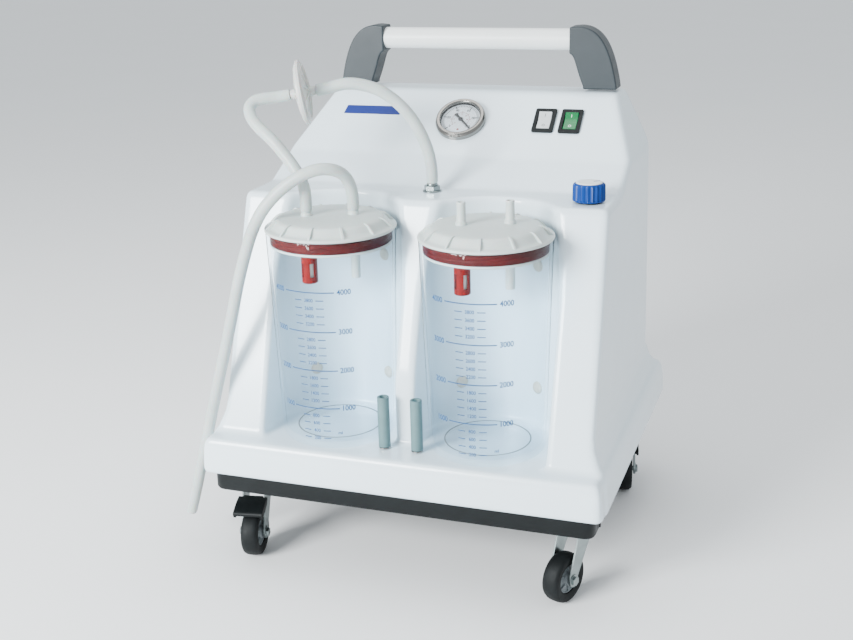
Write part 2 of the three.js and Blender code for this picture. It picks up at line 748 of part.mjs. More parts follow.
const PUMP_HOSE = [
  fromFilter(FILTER.hub + GAP),
  fromFilter(FILTER.hub + GAP + 14),
  [-104, -80, 637],
  [-84, -73, 635],
  [-62, -66, 627],
  [-41, -59, 611],
  [-24, -53, 590],
  [-11, -50, 566],
  [-3, -48, 542],
  [INLET.x, INLET.y, 522],
  [INLET.x, INLET.y, SHOULDER.z + 11.4],
];

function filterShape() {
  const half = [
    [0, -FILTER.hub],
    [5.5, -FILTER.hub],
    [6.5, -8],
    [FILTER.radius - 6, -4.5],
    [FILTER.radius - 3, -2.2],
    [FILTER.radius, -2.2],
  ];
  const profile = [...half, ...half.map(([r, z]) => [r, -z]).reverse()];
  return lathe(profile, 28);
}

// A hose with its ends opened out to slip over the barbs it is pushed on.
function hose(points, steps, ...barbs) {
  return cut(tube(points, HOSE_RADIUS, 8, steps), ...barbs);
}

const barbRoom = (place, radius, z0, z1) => move(disc(radius + GAP, z0, z1, 20), ...place, 0);

add(
  "patient_hose",
  hose(PATIENT_HOSE, 40, barbRoom(LEFT_LID.inner, NIPPLE.radius + 0.7, 480, NIPPLE.top + GAP)),
  "silicone",
);
add(
  "vacuum_hose_jar",
  hose(JAR_HOSE, 26, barbRoom(LEFT_LID.outer, NIPPLE.radius + 0.7, 480, NIPPLE.top + GAP)),
  "silicone",
);
add(
  "vacuum_hose_pump",
  hose(PUMP_HOSE, 22, barbRoom([INLET.x, INLET.y], INLET.barbRadius, 490, INLET.top + GAP)),
  "silicone",
);

const filterMesh = add("inline_filter", filterShape(), "lid");
filterMesh.position.set(...FILTER.centre);
filterMesh.quaternion.setFromUnitVectors(new THREE.Vector3(0, 0, 1), filterAxis);

// ---- casters ----------------------------------------------------------------------------------

// A caster's own frame has its swivel axis at the origin and its wheel towards -Y.
function caster(name, x, y, turn, braked) {
  const group = new THREE.Group();
  group.position.set(x, y, 0);
  group.rotation.z = THREE.MathUtils.degToRad(turn);
  pump.add(group);

  const top = TRAY.bottom - GAP;
  const plate = prism(roundedRectangle(28, 28, 4), "z", top - 2.5, top);
  const race = lathe([[0, top - 9], [17, top - 9], [21, top - 5], [21, top - 2], [0, top - 2]], 18);
  add("caster_plate_" + name, plate.add(race).rotate([0, 0, -turn]), "zinc", group);

  const crown = top - 9 - GAP;
  const inner = WHEEL.width / 2 + 2.2;
  const outer = inner + 2.6;
  const axle = { y: -WHEEL.trail, z: WHEEL.radius * Math.cos(Math.PI / WHEEL.facets) };
  const leg = outline([
    [17, crown],
    [17, crown - 8],
    [4, crown - 26],
    [axle.y + 9, axle.z + 3],
    [axle.y + 5, axle.z - 8],
    [axle.y - 5, axle.z - 8],
    [axle.y - 9, axle.z + 3],
    [-17, crown - 12],
    [-17, crown],
  ]);
  const legs = [
    prism(leg, "x", -outer, -inner),
    prism(leg, "x", inner, outer),
  ];
  const bridge = box(-outer, outer, -17, 17, crown - 3, crown);
  const pin = alongX(disc(3.8, -outer - 1, outer + 1, 12)).translate([0, axle.y, axle.z]);
  const nut = (from, to) => alongX(disc(6.5, from, to, 6)).translate([0, axle.y, axle.z]);
  const fork = union(bridge, ...legs, pin, nut(-outer - 4, -outer + 0.5), nut(outer - 0.5, outer + 4));
  add("caster_fork_" + name, fork, "zinc", group);

  const half = WHEEL.width / 2;
  const rim = 19.5;
  const hub = alongX(lathe([
    [4.1, -half],
    [9, -half],
    [rim, -half + 3.5],
    [rim, half - 3.5],
    [9, half],
    [4.1, half],
    [4.1, -half],
  ], 18));
  add("caster_hub_" + name, hub.translate([0, axle.y, axle.z]), "slate", group);

  const tyre = alongX(lathe([
    [rim + GAP, -half + 2],
    [WHEEL.radius - 4, -half],
    [WHEEL.radius, -half + 7],
    [WHEEL.radius, half - 7],
    [WHEEL.radius - 4, half],
    [rim + GAP, half - 2],
    [rim + GAP, -half + 2],
  ], WHEEL.facets).rotate([0, 0, 180 / WHEEL.facets]));
  add("caster_tyre_" + name, tyre.translate([0, axle.y, axle.z]), "rubber", group);

  if (braked) {
    const pedal = outline([
      [-18, crown - 12, 1],
      [-30, crown - 14, 3],
      [-54, crown - 24, 3],
      [-53, crown - 28, 2],
      [-40, crown - 25, 3],
      [-18, crown - 19, 2],
    ]);
    const lever = prism(pedal, "x", -inner + 0.6, inner - 0.6);
    const cheek = outline([
      [-24, crown - 12.5],
      [-53, crown - 24],
      [-52, crown - 31],
      [-44, crown - 31],
      [-24, crown - 20],
    ]);
    const skirt = [-1, 1].map((s) => prism(
      cheek,
      "x",
      s > 0 ? outer + 0.6 : -outer - 3.6,
      s > 0 ? outer + 3.6 : -outer - 0.6,
    ));
    const cap = prism(
      outline([[-34, crown - 15.6], [-54, crown - 24], [-53, crown - 28], [-36, crown - 21]]),
      "x",
      -outer - 3.6,
      outer + 3.6,
    );
    add("brake_pedal_" + name, union(lever, cap, ...skirt), "black", group);
  }
}

caster("front_left", -WHEEL.swivelX, -WHEEL.swivelY, 10, true);
caster("front_right", WHEEL.swivelX, -WHEEL.swivelY, -22, false);
caster("rear_left", -WHEEL.swivelX, WHEEL.swivelY, 35, false);
caster("rear_right", WHEEL.swivelX, WHEEL.swivelY, 12, true);

export default pump;
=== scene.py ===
"""The look of a two-jar suction pump on casters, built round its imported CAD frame.

Lengths in this file are millimetres in the machine's frame until they become meshes, which are in metres.
"""

import math
import bpy
import numpy as np
from mathutils import Matrix, Vector


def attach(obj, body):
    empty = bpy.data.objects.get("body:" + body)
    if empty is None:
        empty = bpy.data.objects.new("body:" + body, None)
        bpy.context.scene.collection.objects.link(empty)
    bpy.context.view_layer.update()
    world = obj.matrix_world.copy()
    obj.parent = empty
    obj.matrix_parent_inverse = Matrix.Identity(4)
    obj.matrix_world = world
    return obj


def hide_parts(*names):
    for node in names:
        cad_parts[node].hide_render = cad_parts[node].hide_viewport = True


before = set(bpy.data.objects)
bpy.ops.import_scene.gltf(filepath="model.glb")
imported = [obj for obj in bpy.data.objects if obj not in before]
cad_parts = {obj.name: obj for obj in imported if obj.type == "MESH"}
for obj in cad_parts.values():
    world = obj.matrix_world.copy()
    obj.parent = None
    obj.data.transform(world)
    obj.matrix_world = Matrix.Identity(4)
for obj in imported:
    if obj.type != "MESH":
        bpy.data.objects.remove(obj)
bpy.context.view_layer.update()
MM = 0.001
TAU = 2 * math.pi

# ---- dimensions, as in the CAD source ----

LEDGE_Z = 185
SHOULDER_Z = 494
CREASE = (38, 525)
PANEL_TOP = (139, 604)
REAR_Y = 200
BAY_RADIUS = 90
JAR_X, JAR_Y, JAR_TOP = 104, -150, 463
SEAT_Z = 463.3
NIPPLE_DX, NIPPLE_DY, NIPPLE_TOP = 28, 11, 509
POST_X, POST_Y, POST_TOP = 22.4, -196, 256
INLET_Y = -48
KNOB_X, KNOB_Y, KNOB_BOTTOM = 214, -64, 496.4
HANDLE_Y, HANDLE_Z, BAR_RADIUS = 164, 671, 15
GAUGE_X, GAUGE_U = -2, 64
SWITCH_U = 68.5
SWITCH_X = {"power": 117.5, "selector": 154.5}
TRAY_BOTTOM = 106
HOSE_RADIUS, HOSE_BORE = 7.8, 5.6
SIDES = {"left": -1, "right": 1}

PANEL_SLOPE = math.atan2(PANEL_TOP[1] - CREASE[1], PANEL_TOP[0] - CREASE[0])
PANEL = Matrix.Translation((0, CREASE[0], CREASE[1])) @ Matrix.Rotation(PANEL_SLOPE, 4, "X")

# ---- camera and stage ----

FOCAL_LENGTH, SENSOR_WIDTH = 52.18, 36
CAMERA_SHIFT = (-0.0034, 0.00925)
CAMERA_AT = Vector((0.5283, -1.5693, 0.8493))
LOOK_AT = Vector((0.00299, -0.08163, 0.31374))
CAMERA_ROLL = math.radians(-1.44)
SKY_COLOUR, SKY_STRENGTH = (0.89, 0.955, 1, 1), 1.0

camera_data = bpy.data.cameras.new("camera")
camera = bpy.data.objects.new("camera", camera_data)
bpy.context.scene.collection.objects.link(camera)
camera_data.lens = FOCAL_LENGTH
camera_data.sensor_width = SENSOR_WIDTH
camera_data.shift_x, camera_data.shift_y = CAMERA_SHIFT
camera_data.clip_end = 50
view_turn = (LOOK_AT - CAMERA_AT).to_track_quat("-Z", "Y").to_matrix().to_4x4()
camera.matrix_world = Matrix.Translation(CAMERA_AT) @ view_turn @ Matrix.Rotation(CAMERA_ROLL, 4, "Z")
bpy.context.scene.camera = camera


def area_light(name, place, aim, size, watts, tint=(1, 1, 1)):
    """A soft rectangular lamp at place that faces aim, both in metres."""
    data = bpy.data.lights.new(name, "AREA")
    data.shape = "RECTANGLE"
    data.size, data.size_y = size
    data.energy = watts
    data.color = tint
    lamp = bpy.data.objects.new(name, data)
    bpy.context.scene.collection.objects.link(lamp)
    lamp.location = place
    lamp.rotation_euler = (Vector(aim) - Vector(place)).to_track_quat("-Z", "Y").to_euler()


area_light("key", place=(-1.3, -2.5, 1.3), aim=(0, -0.1, 0.35), size=(1.2, 1.0), watts=216,
           tint=(0.95, 0.985, 1))
area_light("overhead", place=(0.1, 0.3, 2.6), aim=(0, 0, 0.4), size=(1.6, 1.6), watts=26)

world = bpy.data.worlds.new("studio")
bpy.context.scene.world = world
world.use_nodes = True
sky = world.node_tree.nodes["Background"].inputs
sky["Color"].default_value = SKY_COLOUR
sky["Strength"].default_value = SKY_STRENGTH

# ---- materials ----


GRAIN_DEPTH = 0.0004  # metres


def shade(colour, factor):
    return tuple(min(1, c * factor) for c in colour) + (1,)


def surface(name, colour, rough=0.4, *, vary=0.06, scale=18, grain=900, bump=0.05, spread=0.1,
            lets_lamps_through=False, **extra):
    """A node material: cloudy colour and gloss, fine grain in relief, and constants for the rest.

    With lets_lamps_through, shadow rays pass straight through it.
    """
    material = bpy.data.materials.new(name)
    material.use_nodes = True
    tree = material.node_tree
    nodes, link = tree.nodes, tree.links.new
    shader = nodes["Principled BSDF"]
    place = nodes.new("ShaderNodeTexCoord").outputs["Object"]

    def noise(size, detail):
        node = nodes.new("ShaderNodeTexNoise")
        node.inputs["Scale"].default_value = size
        node.inputs["Detail"].default_value = detail
        link(place, node.inputs["Vector"])
        return node.outputs["Fac"]

    clouds = noise(scale, 4)
    ramp = nodes.new("ShaderNodeValToRGB")
    ramp.color_ramp.elements[0].position = 0.3
    ramp.color_ramp.elements[1].position = 0.7
    ramp.color_ramp.elements[0].color = shade(colour, 1 - vary)
    ramp.color_ramp.elements[1].color = shade(colour, 1 + vary / 2)
    link(clouds, ramp.inputs["Fac"])
    link(ramp.outputs["Color"], shader.inputs["Base Color"])
    gloss = nodes.new("ShaderNodeMapRange")
    gloss.inputs["To Min"].default_value = max(0.02, rough - spread)
    gloss.inputs["To Max"].default_value = min(1, rough + spread)
    link(noise(scale * 3, 3), gloss.inputs["Value"])
    link(gloss.outputs["Result"], shader.inputs["Roughness"])
    relief = nodes.new("ShaderNodeBump")
    relief.inputs["Strength"].default_value = bump
    relief.inputs["Distance"].default_value = GRAIN_DEPTH
    link(noise(grain, 2), relief.inputs["Height"])
    link(relief.outputs["Normal"], shader.inputs["Normal"])
    for key, value in extra.items():
        shader.inputs[key.replace("_", " ").title().replace("Ior", "IOR")].default_value = value
    if lets_lamps_through:
        clear = nodes.new("ShaderNodeBsdfTransparent")
        clear.inputs["Color"].default_value = shade(colour, 1)
        mix = nodes.new("ShaderNodeMixShader")
        link(nodes.new("ShaderNodeLightPath").outputs["Is Shadow Ray"], mix.inputs["Fac"])
        link(shader.outputs["BSDF"], mix.inputs[1])
        link(clear.outputs["BSDF"], mix.inputs[2])
        link(mix.outputs["Shader"], nodes["Material Output"].inputs["Surface"])
    return material


WHITE = surface("gloss_white_plastic", (0.76, 0.87, 0.935), 0.24, vary=0.03, scale=6, grain=1400,
                bump=0.04, spread=0.05, coat_weight=0.35, coat_roughness=0.12)
BAR_WHITE = surface("satin_white_tube", (0.80, 0.82, 0.81), 0.38, vary=0.03, scale=9, grain=1800, bump=0.05)
SLATE = surface("slate_plastic", (0.03, 0.038, 0.043), 0.42, vary=0.1, scale=30, grain=1600, bump=0.16,
                specular_ior_level=0.3)
BLACK = surface("black_plastic", (0.004, 0.0055, 0.006), 0.46, vary=0.25, scale=40, grain=1500, bump=0.2,
                specular_ior_level=0.2)
TYRE = surface("tyre_rubber", (0.005, 0.0065, 0.007), 0.6, vary=0.3, scale=60, grain=1100, bump=0.35,
               specular_ior_level=0.2)
ZINC = surface("zinc_plate", (0.27, 0.31, 0.31), 0.33, vary=0.14, scale=70, grain=2400, bump=0.06,
               metallic=1.0)
STEEL = surface("polished_steel", (0.26, 0.25, 0.235), 0.16, vary=0.06, scale=50, grain=2600, bump=0.03,
                metallic=1.0)
HUB = surface("hub_plastic", (0.13, 0.15, 0.16), 0.45, vary=0.12, scale=60, grain=1500, bump=0.15)
GUN_METAL = surface("cast_aluminium", (0.36, 0.37, 0.38), 0.48, vary=0.12, scale=45, grain=1300, bump=0.4,
                    metallic=1.0)
BLUE = surface("blue_plastic", (0.0, 0.036, 0.21), 0.36, vary=0.08, scale=80, grain=2000, bump=0.08,
               specular_ior_level=0.25)
# The green rocker's faint emission is a painted glow; the rocker is no lamp.
GREEN_WITH_PAINTED_GLOW = surface("green_plastic", (0.0, 0.13, 0.035), 0.28, vary=0.12, scale=90, grain=1500, bump=0.04,
                emission_color=(0.0, 0.45, 0.16, 1), emission_strength=0.12)
SWITCH_WHITE = surface("frosted_rocker", (0.55, 0.57, 0.58), 0.3, vary=0.08, scale=110, grain=1800, bump=0.05)
LID = surface("milky_lid_plastic", (0.56, 0.62, 0.60), 0.42, vary=0.04, scale=25, grain=1500, bump=0.08,
              subsurface_weight=0.12, subsurface_scale=0.01)
GASKET = surface("maroon_rubber", (0.06, 0.001, 0.001), 0.62, vary=0.12, scale=70, grain=1300, bump=0.2,
                 specular_ior_level=0.1)
RED = surface("red_plastic", (0.16, 0.0005, 0.0001), 0.4, vary=0.08, scale=70, grain=1700, bump=0.06,
              specular_ior_level=0.1)
FOAM = surface("float_foam", (0.75, 0.75, 0.70), 0.75, vary=0.08, scale=200, grain=2600, bump=0.5)
SILICONE = surface("silicone_hose", (0.60, 0.665, 0.65), 0.36, vary=0.06, scale=35, grain=1300, bump=0.06,
                   subsurface_weight=0.25, subsurface_scale=0.006, transmission_weight=0.18, ior=1.41)
PAD = surface("beige_rubber", (0.62, 0.56, 0.46), 0.6, vary=0.12, scale=80, grain=1600, bump=0.15)
SLEEVE = surface("grey_green_hose", (0.105, 0.19, 0.20), 0.55, vary=0.1, scale=60, grain=1500, bump=0.15)
DIAL = surface("dial_card", (0.62, 0.68, 0.73), 0.5, vary=0.03, scale=60, grain=2400, bump=0.05)
PRINT_BLUE = surface("cyan_print", (0.0, 0.065, 0.20), 0.5, vary=0.15, scale=160, grain=1800, bump=0.02)
PRINT_BLACK = surface("black_print", (0.004, 0.004, 0.005), 0.5, vary=0.2, scale=160, grain=1800, bump=0.02)
PRINT_RED = surface("red_print", (0.22, 0.006, 0.004), 0.5, vary=0.1, scale=160, grain=1800, bump=0.02)
BAND_BLUE = surface("label_blue", (0.001, 0.016, 0.17), 0.42, vary=0.06, scale=30, grain=1500, bump=0.03)
CLEAR = surface("clear_polycarbonate", (0.915, 0.96, 0.99), 0.03, vary=0.01, scale=12, grain=300, bump=0.01,
                spread=0.01, transmission_weight=1.0, ior=1.004, coat_weight=0.3, coat_roughness=0.03,
                lets_lamps_through=True)
LENS = surface("gauge_glass", (0.95, 0.98, 1.0), 0.04, vary=0.01, scale=20, grain=300, bump=0.01,
               spread=0.01, alpha=0.025)

# ---- mesh tools ----


def piece(name, shape, body, material, *, at=None, bevel=0, segments=3, angle=35, stands_for=()):
    """Makes a mesh object from (points in millimetres, faces), and ties it to its CAD body."""
    points, faces = shape
    points = np.asarray(points, float).reshape(-1, 3)
    if at is not None:
        turn = np.array(at, float)
        points = points @ turn[:3, :3].T + turn[:3, 3]
        if np.linalg.det(turn[:3, :3]) < 0:
            faces = [list(reversed(face)) for face in faces]
    mesh = bpy.data.meshes.new(name)
    mesh.from_pydata((points * MM).tolist(), [], [list(map(int, face)) for face in faces])
    mesh.validate()
    mesh.shade_smooth()
    mesh.set_sharp_from_angle(angle=math.radians(angle))
    obj = bpy.data.objects.new(name, mesh)
    bpy.context.scene.collection.objects.link(obj)
    mesh.materials.append(material)
    if bevel:
        edge = obj.modifiers.new("rounded_edges", "BEVEL")
        edge.width = bevel * MM
        edge.segments = segments
        edge.limit_method = "ANGLE"
        edge.angle_limit = math.radians(angle)
        edge.harden_normals = True
    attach(obj, body)
    if stands_for:
        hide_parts(*stands_for)
    return obj


def joined(*shapes):
    """Several (points, faces) as one."""
    points, faces = [], []
    for p, f in shapes:
        start = len(points)
        points.extend(np.asarray(p, float).reshape(-1, 3).tolist())
        faces.extend([[start + int(i) for i in face] for face in f])
    return points, faces


def placed(shape, matrix):
    points, faces = shape
    turn = np.array(matrix, float)
    moved = np.asarray(points, float).reshape(-1, 3) @ turn[:3, :3].T + turn[:3, 3]
    if np.linalg.det(turn[:3, :3]) < 0:
        faces = [list(reversed(face)) for face in faces]
    return moved.tolist(), faces


def shifted(shape, x=0, y=0, z=0):
    return placed(shape, Matrix.Translation((x, y, z)))


def turned(profile, segments=64, closed=False):
    """A profile of (radius, height) turned about Z. A radius of 0 closes the shape at the axis."""
    profile = list(profile)
    area = sum(a[0] * b[1] - b[0] * a[1] for a, b in zip(profile, profile[1:] + profile[:1]))
    if area < 0:
        profile.reverse()
    points, rows = [], []
    for radius, height in profile:
        if radius == 0:
            rows.append([len(points)] * segments)
            points.append((0, 0, height))
        else:
            rows.append([len(points) + i for i in range(segments)])
            points.extend(
                (radius * math.cos(TAU * i / segments), radius * math.sin(TAU * i / segments), height)
                for i in range(segments)
            )
    faces = []
    pairs = list(zip(rows, rows[1:] + rows[:1])) if closed else list(zip(rows, rows[1:]))
    for low, high in pairs:
        if low[0] == low[1] and high[0] == high[1]:
            continue
        for i in range(segments):
            k = (i + 1) % segments
            face = [low[i], low[k], high[k], high[i]]
            face = [v for j, v in enumerate(face) if v != face[j - 1]]
            faces.append(face)
    return points, faces


def arc(cx, cz, radius, start, end, steps=6):
    """Points of a circle's arc, its angles in degrees."""
    return [
        (cx + radius * math.cos(math.radians(start + (end - start) * i / steps)),
         cz + radius * math.sin(math.radians(start + (end - start) * i / steps)))
        for i in range(steps + 1)
    ]


def outline_of(corners, steps=6):
    """A polygon of (x, y, corner radius) with its corners rounded."""
    points = []
    for i, (x, y, radius) in enumerate(corners):
        here = np.array([x, y], float)
        before = np.array(corners[i - 1][:2], float) - here
        after = np.array(corners[(i + 1) % len(corners)][:2], float) - here
        if radius == 0:
            points.append((x, y))
            continue
        a = here + before / np.linalg.norm(before) * min(radius, np.linalg.norm(before) / 2)
        b = here + after / np.linalg.norm(after) * min(radius, np.linalg.norm(after) / 2)
        for k in range(steps + 1):
            t = k / steps
            points.append(tuple(a * (1 - t) ** 2 + 2 * here * t * (1 - t) + b * t * t))
    return points


def rounded(half_x, half_y, radius, steps=6):
    return outline_of([(-half_x, -half_y, radius), (half_x, -half_y, radius),
                       (half_x, half_y, radius), (-half_x, half_y, radius)], steps)


def ngon(radius, sides):
    return [(radius * math.cos(TAU * k / sides), radius * math.sin(TAU * k / sides)) for k in range(sides)]


def strip(a, b, n):
    """The quads between rings a and b, of n points each."""
    return [[a * n + i, a * n + (i + 1) % n, b * n + (i + 1) % n, b * n + i] for i in range(n)]


def lofted(rings):
    """Rings of as many points each, joined in order and closed by a face at both ends."""
    n, last = len(rings[0]), len(rings) - 1
    faces = [list(reversed(range(n)))]
    for a in range(last):
        faces += strip(a, a + 1, n)
    faces.append([last * n + i for i in range(n)])
    return [p for ring in rings for p in ring], faces


def extruded(flat, low, high):
    """A flat outline of (x, y) drawn out along Z, anticlockwise or not."""
    flat = list(flat)
    if sum(a[0] * b[1] - b[0] * a[1] for a, b in zip(flat, flat[1:] + flat[:1])) < 0:
        flat.reverse()
    n = len(flat)
    points = [(x, y, low) for x, y in flat] + [(x, y, high) for x, y in flat]
    faces = [list(reversed(range(n))), list(range(n, 2 * n))]
    return points, faces + strip(0, 1, n)


def frame_prism(outer, inner, low, high):
    """An outline with a hole of the same number of points, drawn out along Z."""
    n = len(outer)
    rings = [[(x, y, z) for x, y in ring] for ring, z in
             ((outer, low), (outer, high), (inner, high), (inner, low))]
    points = [p for ring in rings for p in ring]
    faces = []
    for a in range(4):
        faces += strip(a, (a + 1) % 4, n)
    return points, faces


def block(x0, x1, y0, y1, z0, z1):
    return extruded([(x0, y0), (x1, y0), (x1, y1), (x0, y1)], z0, z1)


ALONG_X = Matrix.Rotation(math.pi / 2, 4, "Y")
SIDEWAYS = Matrix(((0, 0, 1, 0), (1, 0, 0, 0), (0, 1, 0, 0), (0, 0, 0, 1)))  # flat x, y -> y, z
UPRIGHT = Matrix(((1, 0, 0, 0), (0, 0, 1, 0), (0, 1, 0, 0), (0, 0, 0, 1)))  # flat x, y -> x, z


def on_panel(x, u, height=0):
    """A place on the sloping panel: x across, u up the slope and height out of it."""
    return PANEL @ Matrix.Translation((x, u, height))


# ---- hoses ----

LEFT_INNER = (-JAR_X + NIPPLE_DX, JAR_Y + NIPPLE_DY)
LEFT_OUTER = (-JAR_X - NIPPLE_DX, JAR_Y - NIPPLE_DY)
FILTER_AT = np.array([-157.0, -97.0, 627.0])
FILTER_AXIS = np.array([0.93, 0.33, 0.15])
FILTER_AXIS /= np.linalg.norm(FILTER_AXIS)


def from_filter(distance):
    return tuple(FILTER_AT + FILTER_AXIS * distance)


PATIENT_HOSE = [
    (*LEFT_INNER, 486), (*LEFT_INNER, 501), (-77, -144, 519), (-81, -155, 534), (-90, -166, 542),
    (-104, -176, 544), (-121, -183, 539), (-137, -188, 530), (-158, -193, 513), (-177, -197, 491),
    (-191, -199, 466), (-203, -200, 435), (-215, -201, 398), (-228, -201, 352), (-242, -201, 304),
    (-257, -200, 256), (-272, -199, 207), (-285, -198, 164), (-299, -196, 120), (-312, -193, 80),
    (-324, -190, 46),
]
JAR_HOSE = [
    (*LEFT_OUTER, 486), (*LEFT_OUTER, 502), (-134, -160, 517), (-142, -158, 533), (-157, -154, 551),
    (-179, -150, 573), (-199, -144, 587), (-213, -138, 600), (-218, -131, 611), (-214, -124, 618),
    (-203, -117, 621), from_filter(-33.3), from_filter(-17.3),
]
PUMP_HOSE = [
    from_filter(17.3), from_filter(31.3), (-104, -80, 637), (-84, -73, 635), (-62, -66, 627),
    (-41, -59, 611), (-24, -53, 590), (-11, -50, 566), (-3, -48, 542), (0, INLET_Y, 522),
    (0, INLET_Y, 505.4),
]


def smooth_line(points, step=3.0):
    """A centripetal Catmull-Rom curve through the points, about one point each step."""
    p = [np.array(q, float) for q in points]
    p = [2 * p[0] - p[1]] + p + [2 * p[-1] - p[-2]]
    line = []
    for i in range(1, len(p) - 2):
        a, b, c, d = p[i - 1:i + 3]
        t0 = 0
        t1 = t0 + math.sqrt(np.linalg.norm(b - a))
        t2 = t1 + math.sqrt(np.linalg.norm(c - b))
        t3 = t2 + math.sqrt(np.linalg.norm(d - c))
        count = max(2, round(np.linalg.norm(c - b) / step))
        for k in range(count):
            t = t1 + (t2 - t1) * k / count
            ab = (t1 - t) / (t1 - t0) * a + (t - t0) / (t1 - t0) * b
            bc = (t2 - t) / (t2 - t1) * b + (t - t1) / (t2 - t1) * c
            cd = (t3 - t) / (t3 - t2) * c + (t - t2) / (t3 - t2) * d
            abc = (t2 - t) / (t2 - t0) * ab + (t - t0) / (t2 - t0) * bc
            bcd = (t3 - t) / (t3 - t1) * bc + (t - t1) / (t3 - t1) * cd
            line.append((t2 - t) / (t2 - t1) * abc + (t - t1) / (t2 - t1) * bcd)
    line.append(p[-2])
    return np.array(line)


def swept(line, outer, inner, sides=20):
    """A hollow tube along a line, closed at both ends by a flat ring.

    outer and inner give its radii at a distance along it, out of its whole length.
    """
    tangents = np.gradient(line, axis=0)
    tangents /= np.linalg.norm(tangents, axis=1)[:, None]
    across = np.cross(tangents[0], [0.3, 1, 0.2])
    across /= np.linalg.norm(across)
    points, count = [], len(line)
    along = np.concatenate([[0], np.cumsum(np.linalg.norm(np.diff(line, axis=0), axis=1))])
    for skin in (outer, inner):
        side = across
        for i in range(count):
            side = side - tangents[i] * (side @ tangents[i])
            side /= np.linalg.norm(side)
            other = np.cross(tangents[i], side)
            radius = skin(along[i], along[-1])
            for k in range(sides):
                angle = TAU * k / sides
                points.append(line[i] + radius * (math.cos(angle) * side + math.sin(angle) * other))
    faces = []
    for skin in range(2):
        start = skin * count * sides
        for i in range(count - 1):
            for k in range(sides):
                a, b = start + i * sides + k, start + i * sides + (k + 1) % sides
                face = [a, b, b + sides, a + sides]
                faces.append(face if skin == 0 else face[::-1])
    inside = count * sides
    for i, flip in ((0, True), (count - 1, False)):
        for k in range(sides):
            a, b = i * sides + k, i * sides + (k + 1) % sides
            face = [a, b, inside + b, inside + a]
            faces.append(face[::-1] if flip else face)
    return points, faces


ROUNDING = 0.6  # of a hose's cut ends


def hose(name, route):
    line = smooth_line(route)

    def outside(s, total):
        lip = min(1, s / 2.0, (total - s) / 2.0)
        return HOSE_RADIUS - ROUNDING + ROUNDING * math.sqrt(max(0, lip))

    tube = piece(name, swept(line, outside, lambda s, total: HOSE_BORE), "lid_left_body",
                 SILICONE, angle=60, stands_for=(name,))
    return tube


FILTER_TURN = Vector((0, 0, 1)).rotation_difference(Vector(FILTER_AXIS)).to_matrix().to_4x4()
FILTER_PLACE = Matrix.Translation(FILTER_AT) @ FILTER_TURN


def disc_filter():
    """Two shallow cones on a flanged rim, with radial ribs on both faces and a port at each end."""
    half = [(3.4, -17), (5.5, -17), (6.2, -14), (6.6, -9), (9, -7.4), (34, -5), (37.5, -4.6), (38.2, -2.4),
            (41.4, -2.2), (42, -1.6)]
    body = turned(half + [(r, -z) for r, z in reversed(half)], 72, closed=True)
    ribs = []
    for face in (-1, 1):
        for k in range(12):
            blade = extruded([(8.5, 7.0), (34.5, 4.8), (34.5, 5.9), (12, 9.6), (8.5, 10.2)], -0.55, 0.55)
            upright = placed(blade, Matrix(((1, 0, 0, 0), (0, 0, 1, 0), (0, face, 0, 0), (0, 0, 0, 1))))
            ribs.append(placed(upright, Matrix.Rotation(TAU * k / 12, 4, "Z")))
    return joined(body, *ribs)


FILTER_WHITE = surface("frosted_filter", (0.72, 0.735, 0.71), 0.35, vary=0.05, scale=60, grain=1400,
                       bump=0.06, subsurface_weight=0.2, subsurface_scale=0.006,
                       transmission_weight=0.25, ior=1.4)
filter_piece = piece("disc_filter", disc_filter(), "lid_left_body", FILTER_WHITE,
                     at=FILTER_PLACE, bevel=0.25, segments=2, stands_for=("inline_filter",))

hose("patient_hose", PATIENT_HOSE)
hose("vacuum_hose_jar", JAR_HOSE)
hose("vacuum_hose_pump", PUMP_HOSE)

# ---- the white housing ----


class Section:
    """The signed distance to a flat polygon, its corners softened, kept on a fine grid."""

    def __init__(self, corners, softness, step=2.0, margin=70):
        points = np.array(corners, float)
        self.step = step
        self.low = points.min(0) - margin
        size = np.ceil((points.max(0) - points.min(0) + 2 * margin) / step).astype(int)
        u = self.low[0] + step * np.arange(size[0])
        v = self.low[1] + step * np.arange(size[1])
        grid = np.stack(np.meshgrid(u, v, indexing="ij"), -1)
        best = np.full(grid.shape[:2], np.inf)
        inside = np.zeros(grid.shape[:2], bool)
        for a, b in zip(points, np.roll(points, -1, 0)):
            ab = b - a
            t = np.clip(((grid - a) @ ab) / (ab @ ab), 0, 1)
            best = np.minimum(best, np.linalg.norm(grid - a - t[..., None] * ab, axis=-1))
            crosses = (a[1] > grid[..., 1]) != (b[1] > grid[..., 1])
            rise = np.where(b[1] == a[1], 1e-9, b[1] - a[1])
            inside ^= crosses & (grid[..., 0] < (b[0] - a[0]) * (grid[..., 1] - a[1]) / rise + a[0])
        field = np.where(inside, -best, best)
        reach = int(3 * softness / step)
        weights = np.exp(-0.5 * (np.arange(-reach, reach + 1) * step / softness) ** 2)
        weights /= weights.sum()
        for axis in (0, 1):
            padded = np.pad(field, [(reach, reach) if k == axis else (0, 0) for k in (0, 1)], mode="edge")
            field = sum(
                w * np.take(padded, range(k, k + field.shape[axis]), axis=axis)
                for k, w in enumerate(weights)
            )
        self.field = field

    def __call__(self, u, v):
        x = np.clip((u - self.low[0]) / self.step, 0, self.field.shape[0] - 1.001)
        y = np.clip((v - self.low[1]) / self.step, 0, self.field.shape[1] - 1.001)
        i, j = x.astype(int), y.astype(int)
        s, t = x - i, y - j
        f = self.field
        return ((1 - s) * (1 - t) * f[i, j] + s * (1 - t) * f[i + 1, j]
                + (1 - s) * t * f[i, j + 1] + s * t * f[i + 1, j + 1])


def mirrored(half):
    return half + [(-x, z) for x, z in reversed(half)]


def soft_max(a, b, blend):
    gap = np.maximum(blend - np.abs(a - b), 0) / blend
    return np.maximum(a, b) + gap * gap * blend / 4


def soft_min(a, b, blend):
    return -soft_max(-a, -b, blend)


